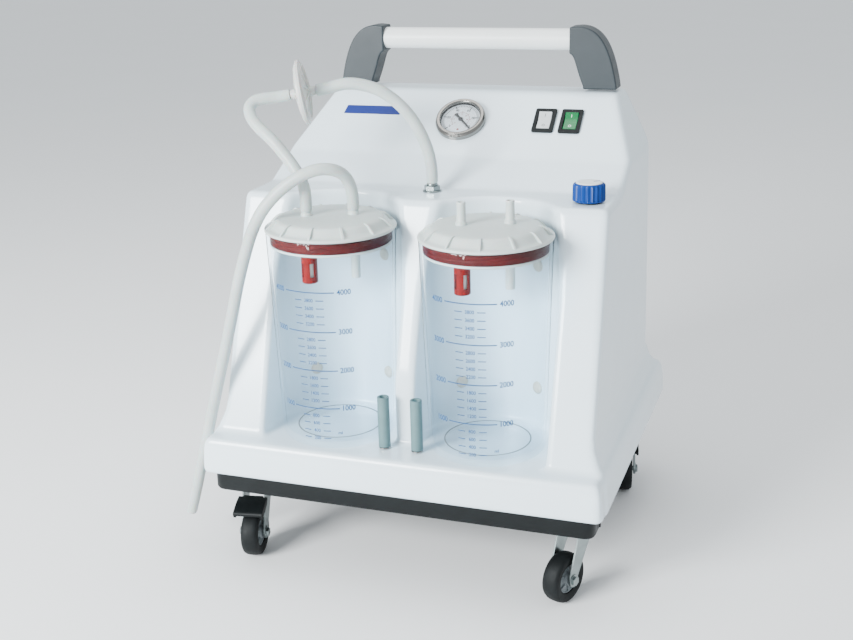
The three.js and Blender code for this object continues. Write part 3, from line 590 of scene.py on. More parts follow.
UPPER_SIDE = Section([(-209, 133), (240, 133), (232, 178), (200, 205), (200, 604), (139, 604), (38, 525),
                      (-27, 494), (-104, 494), (-205, 185)], 3.6)
UPPER_FRONT = Section(mirrored([(275, 133), (270, 173), (254, 213), (247, 525), (208, 604)]), 4.2)
LOWER_SIDE = Section([(-240, 133), (240, 133), (232, 178), (230, 185), (-232, 185), (-236, 170)], 2.6)
LOWER_FRONT = Section(mirrored([(275, 133), (270, 173), (265, 185)]), 2.6)
SHELL_BOTTOM = 133


def rounded_rectangle(x, y, half_x, half_y, radius):
    qx, qy = np.abs(x) - half_x + radius, np.abs(y) - half_y + radius
    outside = np.hypot(np.maximum(qx, 0), np.maximum(qy, 0))
    return outside + np.minimum(np.maximum(qx, qy), 0) - radius


def housing_distance(p):
    """The signed distance, in millimetres, to the white housing's outer skin."""
    x, y, z = p[..., 0], p[..., 1], p[..., 2]
    plan = rounded_rectangle(x, y, 275, 240, 15)
    upper_plan = rounded_rectangle(x, y + 60, 256, 260, 26)
    flare = np.clip((225 - z) / 25, 0, 1)
    upper = soft_max(UPPER_SIDE(y, z), UPPER_FRONT(x, z), 9)
    upper = soft_max(upper, upper_plan * (1 - flare) + plan * flare, 8)
    bays = np.minimum(*(
        np.where(y > JAR_Y, np.hypot(x - side * JAR_X, y - JAR_Y), np.abs(x - side * JAR_X)) - BAY_RADIUS
        for side in (-1, 1)
    ))
    ridge_front = np.maximum(np.abs(x) - 40, y + 178)
    upper = soft_max(upper, -bays, 7)
    upper = soft_max(upper, -ridge_front, 7)
    lower = soft_max(LOWER_SIDE(y, z), LOWER_FRONT(x, z), 5)
    lower = soft_max(lower, plan, 6)
    return np.maximum(soft_min(upper, lower, 8), SHELL_BOTTOM - z)


def skin_of(distance, low, high, step):
    """The zero surface of a distance field as quads: one point in each cell that it crosses."""
    axes = [np.arange(a, b + step, step) for a, b in zip(low, high)]
    f = np.stack(np.meshgrid(*axes, indexing="ij"), -1)
    f = distance(f)
    inside = f < 0
    nx, ny, nz = (n - 1 for n in f.shape)

    def corner(array, i, j, k):
        return array[i:i + nx, j:j + ny, k:k + nz]

    offsets = [(i, j, k) for i in (0, 1) for j in (0, 1) for k in (0, 1)]
    filled = sum(corner(inside, *o).astype(int) for o in offsets)
    mixed = (filled > 0) & (filled < 8)
    index = np.full(mixed.shape, -1)
    cells = np.argwhere(mixed)
    index[mixed] = np.arange(len(cells))
    values = {o: corner(f, *o)[mixed] for o in offsets}
    total, hits = np.zeros((len(cells), 3)), np.zeros(len(cells))
    for a in offsets:
        for axis in range(3):
            if a[axis]:
                continue
            b = tuple(1 if k == axis else a[k] for k in range(3))
            va, vb = values[a], values[b]
            cut = (va < 0) != (vb < 0)
            t = np.where(cut, va / np.where(va == vb, 1, va - vb), 0)
            where = np.repeat(np.array(a, float)[None], len(cells), 0)
            where[:, axis] = t
            total += where * cut[:, None]
            hits += cut
    points = np.array(low) + step * (cells + total / hits[:, None])
    faces = []
    for axis in range(3):
        first = [slice(None)] * 3
        second = [slice(None)] * 3
        first[axis], second[axis] = slice(0, -1), slice(1, None)
        a, b = inside[tuple(first)], inside[tuple(second)]
        others = [k for k in range(3) if k != axis]
        for edge in np.argwhere(a != b):
            cell = edge.copy()
            if any(cell[k] == 0 for k in others) or any(cell[k] >= mixed.shape[k] for k in others):
                continue
            u, v = np.eye(3, dtype=int)[others[0]], np.eye(3, dtype=int)[others[1]]
            quad = [index[tuple(cell - du * u - dv * v)] for du, dv in ((1, 1), (0, 1), (0, 0), (1, 0))]
            outwards = a[tuple(edge)]
            if axis == 1:
                outwards = not outwards
            faces.append(quad if outwards else quad[::-1])
    for _ in range(3):
        here = distance(points)
        nudge = 0.4
        slope = np.stack([
            (distance(points + nudge * np.eye(3)[k]) - distance(points - nudge * np.eye(3)[k])) / (2 * nudge)
            for k in range(3)
        ], -1)
        push = here[:, None] * slope / np.maximum((slope ** 2).sum(-1), 0.2)[:, None]
        points = points - np.clip(push, -step / 2, step / 2)
    return points, np.array(faces)


HOUSING_BOX = ((-283, -247, 127), (283, 247, 611))
CELL = 4.0
UNDERSIDE_X, UNDERSIDE_Y = 253, 218
REAR_HALF, REAR_LOW, REAR_HIGH = 198, 238, 567
GAUGE_HOLE, SWITCH_HOLE = 30.5, (11.5, 18)  # a radius, and half of each side
WALL = 3.6


def housing():
    """The outer skin, without the faces over its openings: below, behind and under the panel's parts."""
    points, faces = skin_of(housing_distance, *HOUSING_BOX, CELL)
    middle = points[faces].mean(1)
    x, y, z = middle.T
    slope = np.array(PANEL.inverted())
    local = middle @ slope[:3, :3].T + slope[:3, 3]
    gone = (z < SHELL_BOTTOM + 0.8) & (np.abs(x) < UNDERSIDE_X) & (np.abs(y) < UNDERSIDE_Y)
    gone |= (y > REAR_Y - 5) & (np.abs(x) < REAR_HALF) & (z > REAR_LOW) & (z < REAR_HIGH)
    near_panel = np.abs(local[:, 2]) < 6
    gone |= near_panel & (np.hypot(local[:, 0] - GAUGE_X, local[:, 1] - GAUGE_U) < GAUGE_HOLE)
    for switch_x in SWITCH_X.values():
        from_switch = np.abs(local[:, :2] - (switch_x, SWITCH_U))
        gone |= near_panel & (from_switch < SWITCH_HOLE).all(-1)
    kept = faces[~gone]
    used, kept = np.unique(kept, return_inverse=True)
    return points[used], kept.reshape(-1, 4)


shell = piece("housing_shell", housing(), "cabinet", WHITE, angle=180,
              stands_for=("front_housing",))
wall = shell.modifiers.new("wall", "SOLIDIFY")
wall.thickness = WALL * MM
wall.offset = -1

# ---- the tray under it ----


def tray():
    """An open tray with a rolled foot and upright ribs round its wall."""
    rings = []
    for inset, z in ((5.5, 106), (1.8, 107.2), (0, 110.5), (0, 132.7), (5, 132.7), (5, 111.2), (7, 110)):
        rings.append([(x, y, z) for x, y in rounded(262 - inset, 228 - inset, 16 - inset, 8)])
    ribs = []
    for k in range(17):
        y = -192 + 24 * k
        for side in (-1, 1):
            ribs.append(block(*sorted((side * 261.5, side * 263.2)), y - 1.6, y + 1.6, 109, 131))
    return joined(lofted(rings), *ribs)


piece("tray_shell", tray(), "cabinet", BLACK, bevel=0.5, segments=2,
      stands_for=("base_tray",))

# ---- handle ----


def bezier(a, b, c, d, steps=12):
    a, b, c, d = (np.array(q, float) for q in (a, b, c, d))
    return [tuple(a * (1 - t) ** 3 + 3 * b * t * (1 - t) ** 2 + 3 * c * t * t * (1 - t) + d * t ** 3)
            for t in (k / steps for k in range(1, steps + 1))]


def handle_arm(side):
    """A slab that bends in from the cabinet's side to the bar."""
    foot = 604.3
    line = [(206, foot), (205, foot + 8)]
    line += bezier((205, foot + 8), (200, 640), (192, 664), (181, 676))
    line += bezier((181, 676), (172, 686), (162, 690), (150, 690))
    line += [(138, 689), (138, 653)]
    line += bezier((138, 653), (147, 650), (146, 636), (158, foot + 4))
    line += [(158, foot)]
    line = [(side * x, z) for x, z in line]
    shape = extruded(line, -17, 17)
    upright = Matrix(((1, 0, 0, 0), (0, 0, -1, HANDLE_Y), (0, 1, 0, 0), (0, 0, 0, 1)))
    return placed(shape, upright)


for side_name, side in SIDES.items():
    piece("grip_arm_" + side_name, handle_arm(side), "cabinet", SLATE, bevel=6.5,
          segments=5, angle=50, stands_for=("handle_arm_" + side_name,))

BAR_PROFILE = [(0, -150), (14.2, -150), (BAR_RADIUS, -149), (BAR_RADIUS, 149), (14.2, 150), (0, 150)]
piece("grip_bar", turned(BAR_PROFILE, 64), "cabinet", BAR_WHITE,
      at=Matrix.Translation((0, HANDLE_Y, HANDLE_Z)) @ ALONG_X, stands_for=("handle_bar",))

# ---- screws ----


def screw_head(radius=3.6, height=1.7):
    """A domed cross-head screw: the dome with two slots pressed into it."""
    rings, sides = 10, 32
    points, faces = [(0, 0, height)], []
    for i in range(1, rings + 1):
        r = radius * i / rings
        for k in range(sides):
            a = TAU * k / sides
            x, y = r * math.cos(a), r * math.sin(a)
            z = height * math.sqrt(max(0, 1 - (r / radius) ** 2 * 0.82))
            z -= 0 if i < rings else height * 0.42
            arm = min(abs(x), abs(y))
            if arm < 0.55 and max(abs(x), abs(y)) < radius * 0.62:
                z -= 0.9
            points.append((x, y, z))
    for k in range(sides):
        faces.append([0, 1 + k, 1 + (k + 1) % sides])
    for i in range(rings - 1):
        for k in range(sides):
            a, b = 1 + i * sides + k, 1 + i * sides + (k + 1) % sides
            faces.append([a, a + sides, b + sides, b])
    last = 1 + (rings - 1) * sides
    base = len(points)
    points += [(x, y, -0.4) for x, y in ngon(radius, sides)]
    faces += [[last + k, base + k, base + (k + 1) % sides, last + (k + 1) % sides] for k in range(sides)]
    faces.append([base + k for k in reversed(range(sides))])
    return points, faces


def facing(place, direction):
    turn = Vector((0, 0, 1)).rotation_difference(Vector(direction)).to_matrix().to_4x4()
    return Matrix.Translation(place) @ turn


tray_screws = [facing((side * 262.2, y, 119.5), (side, 0, 0)) for side in (-1, 1) for y in (-61, 70, 201)]
tray_screws += [facing((x, 228.2, 119.5), (0, 1, 0)) for x in (-180, 0, 180)]
cover_screws = [facing((x, REAR_Y + 3.3, z), (0, 1, 0))
                for x in (-202, 0, 202) for z in (236, 570)]
for name, places in (("tray_screws", tray_screws), ("cover_screws", cover_screws)):
    piece(name, joined(*(placed(screw_head(), place) for place in places)), "cabinet", ZINC)

# ---- rubber pads in the bays ----

PAD_PROFILE = [(8.4, 0), (8.4, 1.2), (7.6, 2.6), (5.5, 3.7), (2.5, 4.2), (0, 4.3)]
pads = []
for side, turns in ((-1, (-43, 28)), (1, (-39, 32))):
    for turn in turns:
        for z in (240, 409):
            angle = math.radians(turn)
            inward = Vector((-math.sin(angle), -math.cos(angle), 0))
            wall_point = Vector((side * JAR_X, JAR_Y, z)) - inward * (BAY_RADIUS + 0.3)
            pads.append(placed(turned(PAD_PROFILE, 32), facing(wall_point, inward)))
piece("jar_pads", joined(*pads), "cabinet", PAD)

# ---- gauge ----


def lettering(text, size, tall=1.0):
    """A number in bold as a flat mesh, centred on the origin, in millimetres."""
    curve = bpy.data.curves.new("lettering", "FONT")
    curve.body = text
    curve.size = size
    curve.align_x = "CENTER"
    curve.align_y = "CENTER"
    curve.resolution_u = 3
    curve.offset = 0.024 * size
    holder = bpy.data.objects.new("lettering", curve)
    mesh = bpy.data.meshes.new_from_object(holder)
    points = [(v.co.x, v.co.y * tall, v.co.z) for v in mesh.vertices]
    faces = [list(face.vertices) for face in mesh.polygons]
    bpy.data.meshes.remove(mesh)
    bpy.data.objects.remove(holder)
    bpy.data.curves.remove(curve)
    return points, faces


def tick(radius, length, width, angle):
    flat = [(radius, -width / 2, 0), (radius + length, -width / 2, 0),
            (radius + length, width / 2, 0), (radius, width / 2, 0)]
    return placed((flat, [[0, 1, 2, 3]]), Matrix.Rotation(angle, 4, "Z"))


def dial_marks():
    """Black and red scales over three quarters of a turn, with their numbers, a red ring and a dot."""
    black, red = [], []
    start, sweep = math.radians(225), math.radians(-270)
    for k in range(51):
        angle = start + sweep * k / 50
        long = k % 10 == 0
        black.append(tick(21.2 if long else 23.2, 5.2 if long else 3.2, 1.6 if long else 0.8, angle))
        if long:
            place = Matrix.Translation((18.4 * math.cos(angle), 18.4 * math.sin(angle), 0))
            black.append(placed(lettering(str(k * 2), 5.2, 1.1), place))
    for k in range(31):
        angle = start + sweep * k / 30
        long = k % 5 == 0
        red.append(tick(12.2, 2.8 if long else 1.6, 0.9 if long else 0.5, angle))
        if long:
            place = Matrix.Translation((9.6 * math.cos(angle), 9.6 * math.sin(angle), 0))
            red.append(placed(lettering(str(k), 3.2), place))
    ring = [tick(12.2, 0.25, 0.9, start + sweep * k / 120) for k in range(121)]
    dot = turned([(1.7, 0), (0, 0.01)], 20)
    return joined(*black), joined(*red, *ring, shifted(dot, 0, -18.6, 0))


GAUGE_AT = on_panel(GAUGE_X, GAUGE_U)
BEZEL = ([(31.9, 0.3), (35.6, 0.3)] + arc(33.8, 5.4, 1.8, 0, 55, 5) + arc(32.6, 8.4, 1.9, 55, 95, 5)
         + arc(30.2, 8.6, 1.7, 90, 170, 6) + [(28.4, 7.0), (31.9, 7.0)])
piece("gauge_bezel_ring", turned(BEZEL, 96, closed=True), "cabinet", STEEL, at=GAUGE_AT,
      angle=50, stands_for=("gauge_bezel",))
# The card stops short of the bezel so the black cup shows as a dark ring round it: partly the case's own
# black, partly painted shade under the bezel.
piece("gauge_cup", turned([(0, -38), (24, -38), (31.2, -30), (31.2, 2.4), (30.4, 2.6), (0, 2.6)], 72),
      "cabinet", BLACK, at=GAUGE_AT, bevel=0.6, stands_for=("gauge_case",))
piece("gauge_card", turned([(0, 2.9), (27.8, 2.9), (27.8, 3.7), (27.6, 3.9), (0, 3.9)], 96), "cabinet",
      DIAL, at=GAUGE_AT, stands_for=("gauge_dial",))
black_marks, red_marks = dial_marks()
piece("gauge_scale", black_marks, "cabinet", PRINT_BLACK, at=on_panel(GAUGE_X, GAUGE_U, 3.96))
piece("gauge_inner_scale", red_marks, "cabinet", PRINT_RED,
      at=on_panel(GAUGE_X, GAUGE_U, 3.96))
piece("gauge_cover_glass", turned([(0, 7.4), (31.2, 7.4), (31.2, 8.3), (28, 8.9), (0, 9.0)], 72), "cabinet",
      LENS, at=GAUGE_AT, stands_for=("gauge_lens",))
POINTER = [(-2.9, -12.4), (-1.8, -8.2), (-1.5, -4), (-1.8, 0), (-0.8, 24.4), (0, 25.4), (0.8, 24.4),
           (1.8, 0), (1.5, -4), (1.8, -8.2), (2.9, -12.4), (0, -13)]
boss = turned([(0, 4.4), (3.3, 4.4), (3.3, 5.6), (2.4, 6.3), (0, 6.4)], 32)
pointer = joined(extruded(POINTER, 4.7, 5.4), boss)
piece("gauge_pointer_hand", pointer, "gauge_pointer", PRINT_BLACK,
      at=GAUGE_AT @ Matrix.Rotation(math.radians(-135), 4, "Z"), stands_for=("gauge_needle",))

# ---- switches ----

ROCKER = [(-14.4, -2.5), (-9, -6), (9, -6), (14.4, -2.5), (13.9, 5.2), (11.6, 4.6), (6, 2.5), (0, 1.8),
          (-7, 2.0), (-14.2, 2.4)]
for switch, (material, slot) in {"power": (SWITCH_WHITE, "white_plastic"),
                                 "selector": (GREEN_WITH_PAINTED_GLOW, "green_plastic")}.items():
    place = on_panel(SWITCH_X[switch], SWITCH_U)
    body = "power_button" if switch == "power" else "selector_button"
    rim = frame_prism(rounded(15, 21.5, 3), rounded(9.6, 15.4, 1), 0.3, 3.4)
    cup = frame_prism(rounded(12.4, 19, 1), rounded(11, 16.5, 1), -24, 0.5)
    floor = extruded(rounded(12.4, 19, 1), -25, -23.5)
    piece(switch + "_rim", joined(rim, cup, floor), "cabinet", BLACK, at=place,
          bevel=0.7, stands_for=(switch + "_switch_frame",))
    piece(switch + "_paddle", placed(extruded(ROCKER, -9.1, 9.1), SIDEWAYS), body, material,
          at=place, bevel=0.8, angle=40, stands_for=(switch + "_rocker",))
    ring = frame_prism(ngon(2.1, 24), ngon(1.5, 24), 0, 0.12)
    stroke = block(-0.35, 0.35, -2.2, 2.2, 0, 0.12)
    marks = joined(placed(stroke, Matrix.Translation((0, 8.4, 3.38)) @ Matrix.Rotation(0.33, 4, "X")),
                   placed(ring, Matrix.Translation((0, -8.6, 2.08)) @ Matrix.Rotation(-0.05, 4, "X")))
    piece(switch + "_marks", marks, body, PRINT_BLACK if switch == "power" else BAR_WHITE, at=place)

# ---- label band ----

band = extruded(outline_of([(-183, 72.5, 1), (-97, 72.5, 1), (-93, 88.5, 1), (-181, 88.5, 1)]), 0.1, 0.5)
piece("label_band", band, "cabinet", BAND_BLUE, at=on_panel(0, 0))

# ---- regulator and inlet ----


def fluted_knob():
    """A fluted grip with a rounded shoulder, on a plain skirt."""
    flutes, per_flute = 22, 8
    count = flutes * per_flute
    levels = [(0.0, 0.0, 20.4), (0.0, 1.2, 20.9), (1.0, 2.2, 20.9), (1.0, 19.4, 20.7), (0.7, 21.0, 20.0),
              (0.2, 22.2, 18.6), (0.0, 22.6, 17.4), (0.0, 22.0, 16.9)]
    rings = []
    for depth, z, radius in levels:
        rings.append([])
        for k in range(count):
            wave = 0.5 - 0.5 * math.cos(TAU * k / per_flute)
            r = radius - 1.5 * depth * wave ** 0.6
            rings[-1].append((r * math.cos(TAU * k / count), r * math.sin(TAU * k / count), z))
    return lofted(rings)


KNOB_AT = Matrix.Translation((KNOB_X, KNOB_Y, KNOB_BOTTOM))
piece("knob_grip", fluted_knob(), "knob", BLUE, at=KNOB_AT, stands_for=("regulator_knob",))
piece("knob_cap", turned([(0, 21.4), (16.8, 21.4), (16.8, 22.9), (16.0, 23.5), (13, 23.7), (0, 23.7)], 64),
      "knob", BAR_WHITE, at=KNOB_AT)
piece("knob_mark", block(6, 14.5, -1.1, 1.1, 23.7, 23.85), "knob", BAND_BLUE,
      at=KNOB_AT @ Matrix.Rotation(math.radians(35), 4, "Z"))
piece("knob_collar", turned([(13, 0.2), (16.5, 0.2), (16.5, 1.3), (15.5, 2.0), (13, 2.0)], 48, closed=True),
      "cabinet", BLACK, at=Matrix.Translation((KNOB_X, KNOB_Y, SHOULDER_Z)))

inlet_parts = [
    extruded(ngon(11, 6), 2.0, 8.0),
    turned([(0, 0.3), (12.6, 0.3), (12.6, 1.3), (11.8, 2.0), (0, 2.0)], 48),
    turned([(2.6, 8), (7.2, 8), (7.4, 9.5), (6.8, 11), (4.6, 11.3), (4.4, 14), (5.2, 18), (4.4, 18.4),
            (5.2, 22.5), (4.4, 23), (5.2, 27), (4.4, 27.4), (4.4, 31), (4.0, 34), (2.6, 34)], 40,
           closed=True),
    turned([(2.6, -33), (4.8, -33), (5.2, -22), (6.2, -18), (6.2, 0.4), (2.6, 0.4)], 32, closed=True),
]
piece("inlet_fitting", joined(*inlet_parts), "cabinet", ZINC,
      at=Matrix.Translation((0, INLET_Y, SHOULDER_Z)), bevel=0.4, stands_for=("suction_inlet",))

# ---- jars ----

JAR_PROFILE = (
    [(0, 188.6), (58, 188.2), (60.5, 187.0), (62.5, 185.6), (65, 185.3), (69.6, 185.3)]
    + arc(69.6, 191.4, 6.1, -90, 0, 8)
    + [(75.9, 196), (83.8, 461.6), (83.2, 462.8), (81.8, 463), (80.4, 462.6), (79.8, 461.4), (72.1, 203)]
    + arc(64.6, 199.8, 7.4, 0, -90, 8)
    + [(57.5, 192.4), (56.2, 193.6), (54.4, 193.9), (18, 193.6)]
    + [(9.4, 193.4), (8.6, 194.4), (7.0, 194.6), (6.4, 193.6), (0, 193.4)]
)

LID_PROFILE = (
    [(0, 17.3), (26, 17.1), (48, 16.5), (60, 15.9), (66, 15.3), (69, 14.4), (71, 12.6), (73.4, 9.4)]
    + [(75.8, 6.6), (77.6, 5.2), (79.6, 4.5), (83.6, 4.1), (84.6, 3.5), (85, 2.6), (85, 0.9), (84.3, 0.1)]
    + [(76.6, 0), (76.5, -15.7), (78.4, -15.9), (78.8, -16.6), (78.8, -18.6), (77.9, -19.3)]
    + [(74.2, -19.3), (73.6, -18.3), (73.6, 4.5), (66, 8.6), (54, 11.6), (0, 13.6)]
)


def lid_shape(turn):
    """The lid: its turned body, twelve ribs on the slope, two hose nipples and the drop tube."""
    parts = [turned(LID_PROFILE, 120)]
    rib = [(62, 13), (65.5, 16.2), (69.6, 15.9), (73.6, 13.8), (78.2, 9.6), (82, 6), (83.2, 3.9), (72, 5)]
    for k in range(12):
        blade = placed(extruded(rib, -1.4, 1.4), UPRIGHT)
        parts.append(placed(blade, Matrix.Rotation(math.radians(turn + 30 * k - 90), 4, "Z")))
    top = NIPPLE_TOP - SEAT_Z
    stem = [(3.4, 14), (7.7, 14), (7.6, 17.6), (7.2, 20.4), (6.4, 21.2), (5.9, 22), (5.4, top - 3.2),
            (5.7, top - 2.4), (5.6, top - 0.8), (5.0, top), (3.9, top), (3.4, top - 0.6)]
    for hand in (-1, 1):
        parts.append(shifted(turned(stem, 40, closed=True), hand * NIPPLE_DX, hand * NIPPLE_DY, 0))
    drop = turned([(3.4, 14.6), (6.4, 14.6), (6.1, -66.4), (5.7, -67.6), (3.8, -67.6), (3.4, -66.8)], 40,
                  closed=True)
    parts.append(shifted(drop, NIPPLE_DX, NIPPLE_DY, 0))
    return joined(*parts)


def cage_shape():
    """A float cage: a ring, four bars and a drilled floor."""
    bottom, top, outer, inner = 391.0, 475.0, 10.5, 8.7
    parts = [
        turned([(inner, bottom + 27), (outer, bottom + 27), (outer, top), (inner, top)], 48, closed=True),
        turned([(2.6, bottom + 0.4), (9.4, bottom), (outer, bottom + 1), (outer, bottom + 8.5),
                (inner, bottom + 8.5), (inner, bottom + 2.2), (2.6, bottom + 2.2)], 48, closed=True),
    ]
    for k in range(4):
        bar_arc = [math.radians(90 * k + d) for d in (-27, -13.5, 0, 13.5, 27)]
        flat = [(outer * math.cos(a), outer * math.sin(a)) for a in bar_arc]
        flat += [(inner * math.cos(a), inner * math.sin(a)) for a in reversed(bar_arc)]
        parts.append(extruded(flat, bottom + 8, bottom + 27.5))
    return joined(*parts)


def on_jar(shape, angle, z, radius):
    """A flat mark wrapped round the jar, its middle at an angle from the front, in radians."""
    points, faces = shape
    wrapped = []
    for x, y, _ in points:
        a = angle + x / radius
        wrapped.append((radius * math.sin(a), -radius * math.cos(a), z + y))
    return wrapped, faces


def bar_mark(half_length, half_width, steps):
    xs = [-half_length + 2 * half_length * k / steps for k in range(steps + 1)]
    points = [(x, -half_width, 0) for x in xs] + [(x, half_width, 0) for x in xs]
    return points, [[k, k + 1, steps + 2 + k, steps + 1 + k] for k in range(steps)]


SCALE_ZERO, LITRE_RISE = 190.8, 52.33
FLANK_RADIUS, FLANK_Z, FLANK_WIDENS, FLANK_RISE = 75.9, 196, 7.9, 265.6  # the jar outside, from its foot
PRINT_LIFT = 0.12


def graduations(turn, lift):
    """Numbers and lines from 200 to 4000 ml, printed on the outside of the jar."""
    parts = []
    for k in range(1, 21):
        volume = 200 * k
        z = SCALE_ZERO + lift + LITRE_RISE * volume / 1000
        radius = FLANK_RADIUS + FLANK_WIDENS * (z - FLANK_Z) / FLANK_RISE + PRINT_LIFT
        middle = math.radians(turn)
        if volume % 1000 == 0:
            parts.append(on_jar(bar_mark(math.radians(23.5) * radius, 0.75, 40), middle, z, radius))
            for hand in (-1, 1):
                place = middle + hand * math.radians(32)
                parts.append(on_jar(lettering(str(volume), 9.0, 1.1), place, z, radius))
        else:
            parts.append(on_jar(lettering(str(volume), 6.0, 1.1), middle, z, radius))
            for hand in (-1, 1):
                place = middle + hand * math.radians(10.2)
                parts.append(on_jar(bar_mark(math.radians(3.6) * radius, 0.6, 8), place, z, radius))
    parts.append(on_jar(lettering("ml", 6), math.radians(turn + 23), 209, 76.4))
    return joined(*parts)


# A thin dark ring on the jar's inner floor is painted shade: it stands in for the dark rim that the thick
# clear bottom shows, which the barely bending glass doesn't make.
PAINTED_DARK_RIM = [(55.1, 194.0), (56.9, 194.0), (56.9, 194.4), (55.1, 194.4)]
SEAL = [(76.9, -15.2), (78.7, -15.2), (79.1, -14.4), (79.1, -9), (78.7, -8.4), (79.1, -7.8), (79.1, -2.8),
        (78.7, -2), (76.9, -2)]
FLOAT = [(0, 393.6), (5.6, 393.6), (6.5, 394.6), (6.5, 416), (5.4, 417.6), (3.2, 418.4), (3, 419.8), (0, 420)]
for side_name, side in SIDES.items():
    here = Matrix.Translation((side * JAR_X, JAR_Y, 0))
    lid_body, jar_body = "lid_" + side_name + "_body", "jar_" + side_name + "_body"
    print_turn, print_lift = (0.5, 0) if side < 0 else (2, 2)
    piece("jar_vessel_" + side_name, turned(JAR_PROFILE, 128), jar_body, CLEAR,
          at=here, angle=50, stands_for=("jar_" + side_name,))
    # The painted dark rim on the jar's floor.
    piece("jar_painted_dark_rim_" + side_name, turned(PAINTED_DARK_RIM, 96, closed=True), jar_body,
          HUB, at=here)
    piece("jar_scale_" + side_name, graduations(print_turn, print_lift), jar_body,
          PRINT_BLUE, at=here)
    piece("jar_lid_" + side_name, lid_shape(4 if side < 0 else 11), lid_body, LID,
          at=here @ Matrix.Translation((0, 0, SEAT_Z)), bevel=0.35, segments=2, angle=38,
          stands_for=("lid_" + side_name,))
    piece("jar_seal_" + side_name, turned(SEAL, 120, closed=True), lid_body, GASKET,
          at=here @ Matrix.Translation((0, 0, JAR_TOP)), stands_for=("lid_gasket_" + side_name,))
    nipple = here @ Matrix.Translation((-NIPPLE_DX, -NIPPLE_DY, 0))
    piece("overflow_cage_" + side_name, cage_shape(), lid_body, RED, at=nipple, bevel=0.3,
          segments=2, stands_for=("float_cage_" + side_name,))
    piece("overflow_plug_" + side_name, turned(FLOAT, 40), "float_" + side_name + "_body", FOAM,
          at=nipple, stands_for=("overflow_float_" + side_name,))

# ---- hose posts ----

FOOT = LEDGE_Z + 0.3
POST_CORE = [(0, FOOT), (7.7, FOOT), (7.7, FOOT + 1), (7.2, FOOT + 1.5), (3.9, FOOT + 1.6),
             (3.9, POST_TOP - 9), (3.2, POST_TOP - 8), (0, POST_TOP - 8)]
POST_SLEEVE = [(4.3, FOOT + 1.9), (7.4, FOOT + 1.9), (7.8, FOOT + 2.4), (7.8, POST_TOP - 0.9),
               (7.3, POST_TOP - 0.2), (6.6, POST_TOP), (5.3, POST_TOP), (4.6, POST_TOP - 0.4),
               (4.3, POST_TOP - 1.2)]
for side_name, side in SIDES.items():
    here = Matrix.Translation((side * POST_X, POST_Y, 0))
    piece("post_pin_" + side_name, turned(POST_CORE, 48), "cabinet", STEEL, at=here,
          stands_for=("post_core_" + side_name,))
    piece("post_hose_" + side_name, turned(POST_SLEEVE, 64, closed=True), "cabinet",
          SLEEVE, at=here, stands_for=("post_sleeve_" + side_name,))

# ---- casters ----

CASTERS = {
    "front_left": (-226, -172, 10, True),
    "front_right": (226, -172, -22, False),
    "rear_left": (-226, 172, 35, False),
    "rear_right": (226, 172, 12, True),
}
CROWN = TRAY_BOTTOM - 0.3 - 9 - 0.3
AXLE_Y, AXLE_Z = -25, 33 * math.cos(math.pi / 24)
LEG_IN, LEG_OUT = 14.2, 16.8


def fork_shape():
    leg = outline_of([(17, CROWN, 2), (17, CROWN - 8, 6), (4, CROWN - 26, 14), (AXLE_Y + 9, AXLE_Z + 3, 5),
                      (AXLE_Y + 6, AXLE_Z - 8, 4), (AXLE_Y - 6, AXLE_Z - 8, 4), (AXLE_Y - 9, AXLE_Z + 3, 5),
                      (-17, CROWN - 12, 14), (-17, CROWN, 2)])
    axle = Matrix.Translation((0, AXLE_Y, AXLE_Z)) @ ALONG_X
    parts = [placed(extruded(leg, a, b), SIDEWAYS) for a, b in ((-LEG_OUT, -LEG_IN), (LEG_IN, LEG_OUT))]
    parts.append(block(-LEG_OUT, LEG_OUT, -17, 17, CROWN - 3, CROWN))
    parts.append(placed(turned([(0, -17.6), (3.8, -17.6), (3.8, 17.6), (0, 17.6)], 32), axle))
    for hand in (-1, 1):
        parts.append(placed(extruded(ngon(6.4, 6), *sorted((hand * LEG_OUT, hand * (LEG_OUT + 3.8)))), axle))
        parts.append(placed(turned([(0, hand * (LEG_OUT + 0.1)), (8.6, hand * (LEG_OUT + 0.1)),
                                    (8.6, hand * (LEG_OUT + 1.0)), (0, hand * (LEG_OUT + 1.1))], 36), axle))
    return joined(*parts)


def plate_shape(turn):
    top = TRAY_BOTTOM - 0.3
    plate = placed(extruded(rounded(28, 28, 5), top - 2.5, top), Matrix.Rotation(-turn, 4, "Z"))
    race = turned([(0, top - 9), (16.4, top - 9), (17.6, top - 8.6), (20.6, top - 5.6), (21.2, top - 4.4),
                   (21.2, top - 2.4), (0, top - 2.4)], 64)
    bolts = []
    for x in (-21.5, 21.5):
        for y in (-21.5, 21.5):
            head = extruded(ngon(4, 6), top - 6, top - 2.4)
            bolts.append(placed(shifted(head, x, y, 0), Matrix.Rotation(-turn, 4, "Z")))
    return joined(plate, race, *bolts)


HUB_PROFILE = [(4.1, -12), (7.2, -12), (8.6, -11.4), (9, -10.4), (10.5, -7.6), (16.6, -7.2), (18, -8.6),
               (19.4, -8.6), (19.4, 8.6), (18, 8.6), (16.6, 7.2), (10.5, 7.6), (9, 10.4), (8.6, 11.4),
               (7.2, 12), (4.1, 12)]
TREAD = [(19.8, -10), (24, -11.6), (28.4, -12), (30.8, -10.6), (32.3, -7.6), (32.9, -4), (33, 0)]
TYRE_PROFILE = TREAD + [(r, -z) for r, z in reversed(TREAD[:-1])]


def hub_shape():
    ribs = []
    for k in range(6):
        for hand in (-1, 1):
            rib = block(9.5, 17.6, -0.9, 0.9, *sorted((hand * 6.8, hand * 9.4)))
            ribs.append(placed(rib, Matrix.Rotation(TAU * k / 6, 4, "Z")))
    return joined(turned(HUB_PROFILE, 64, closed=True), *ribs)


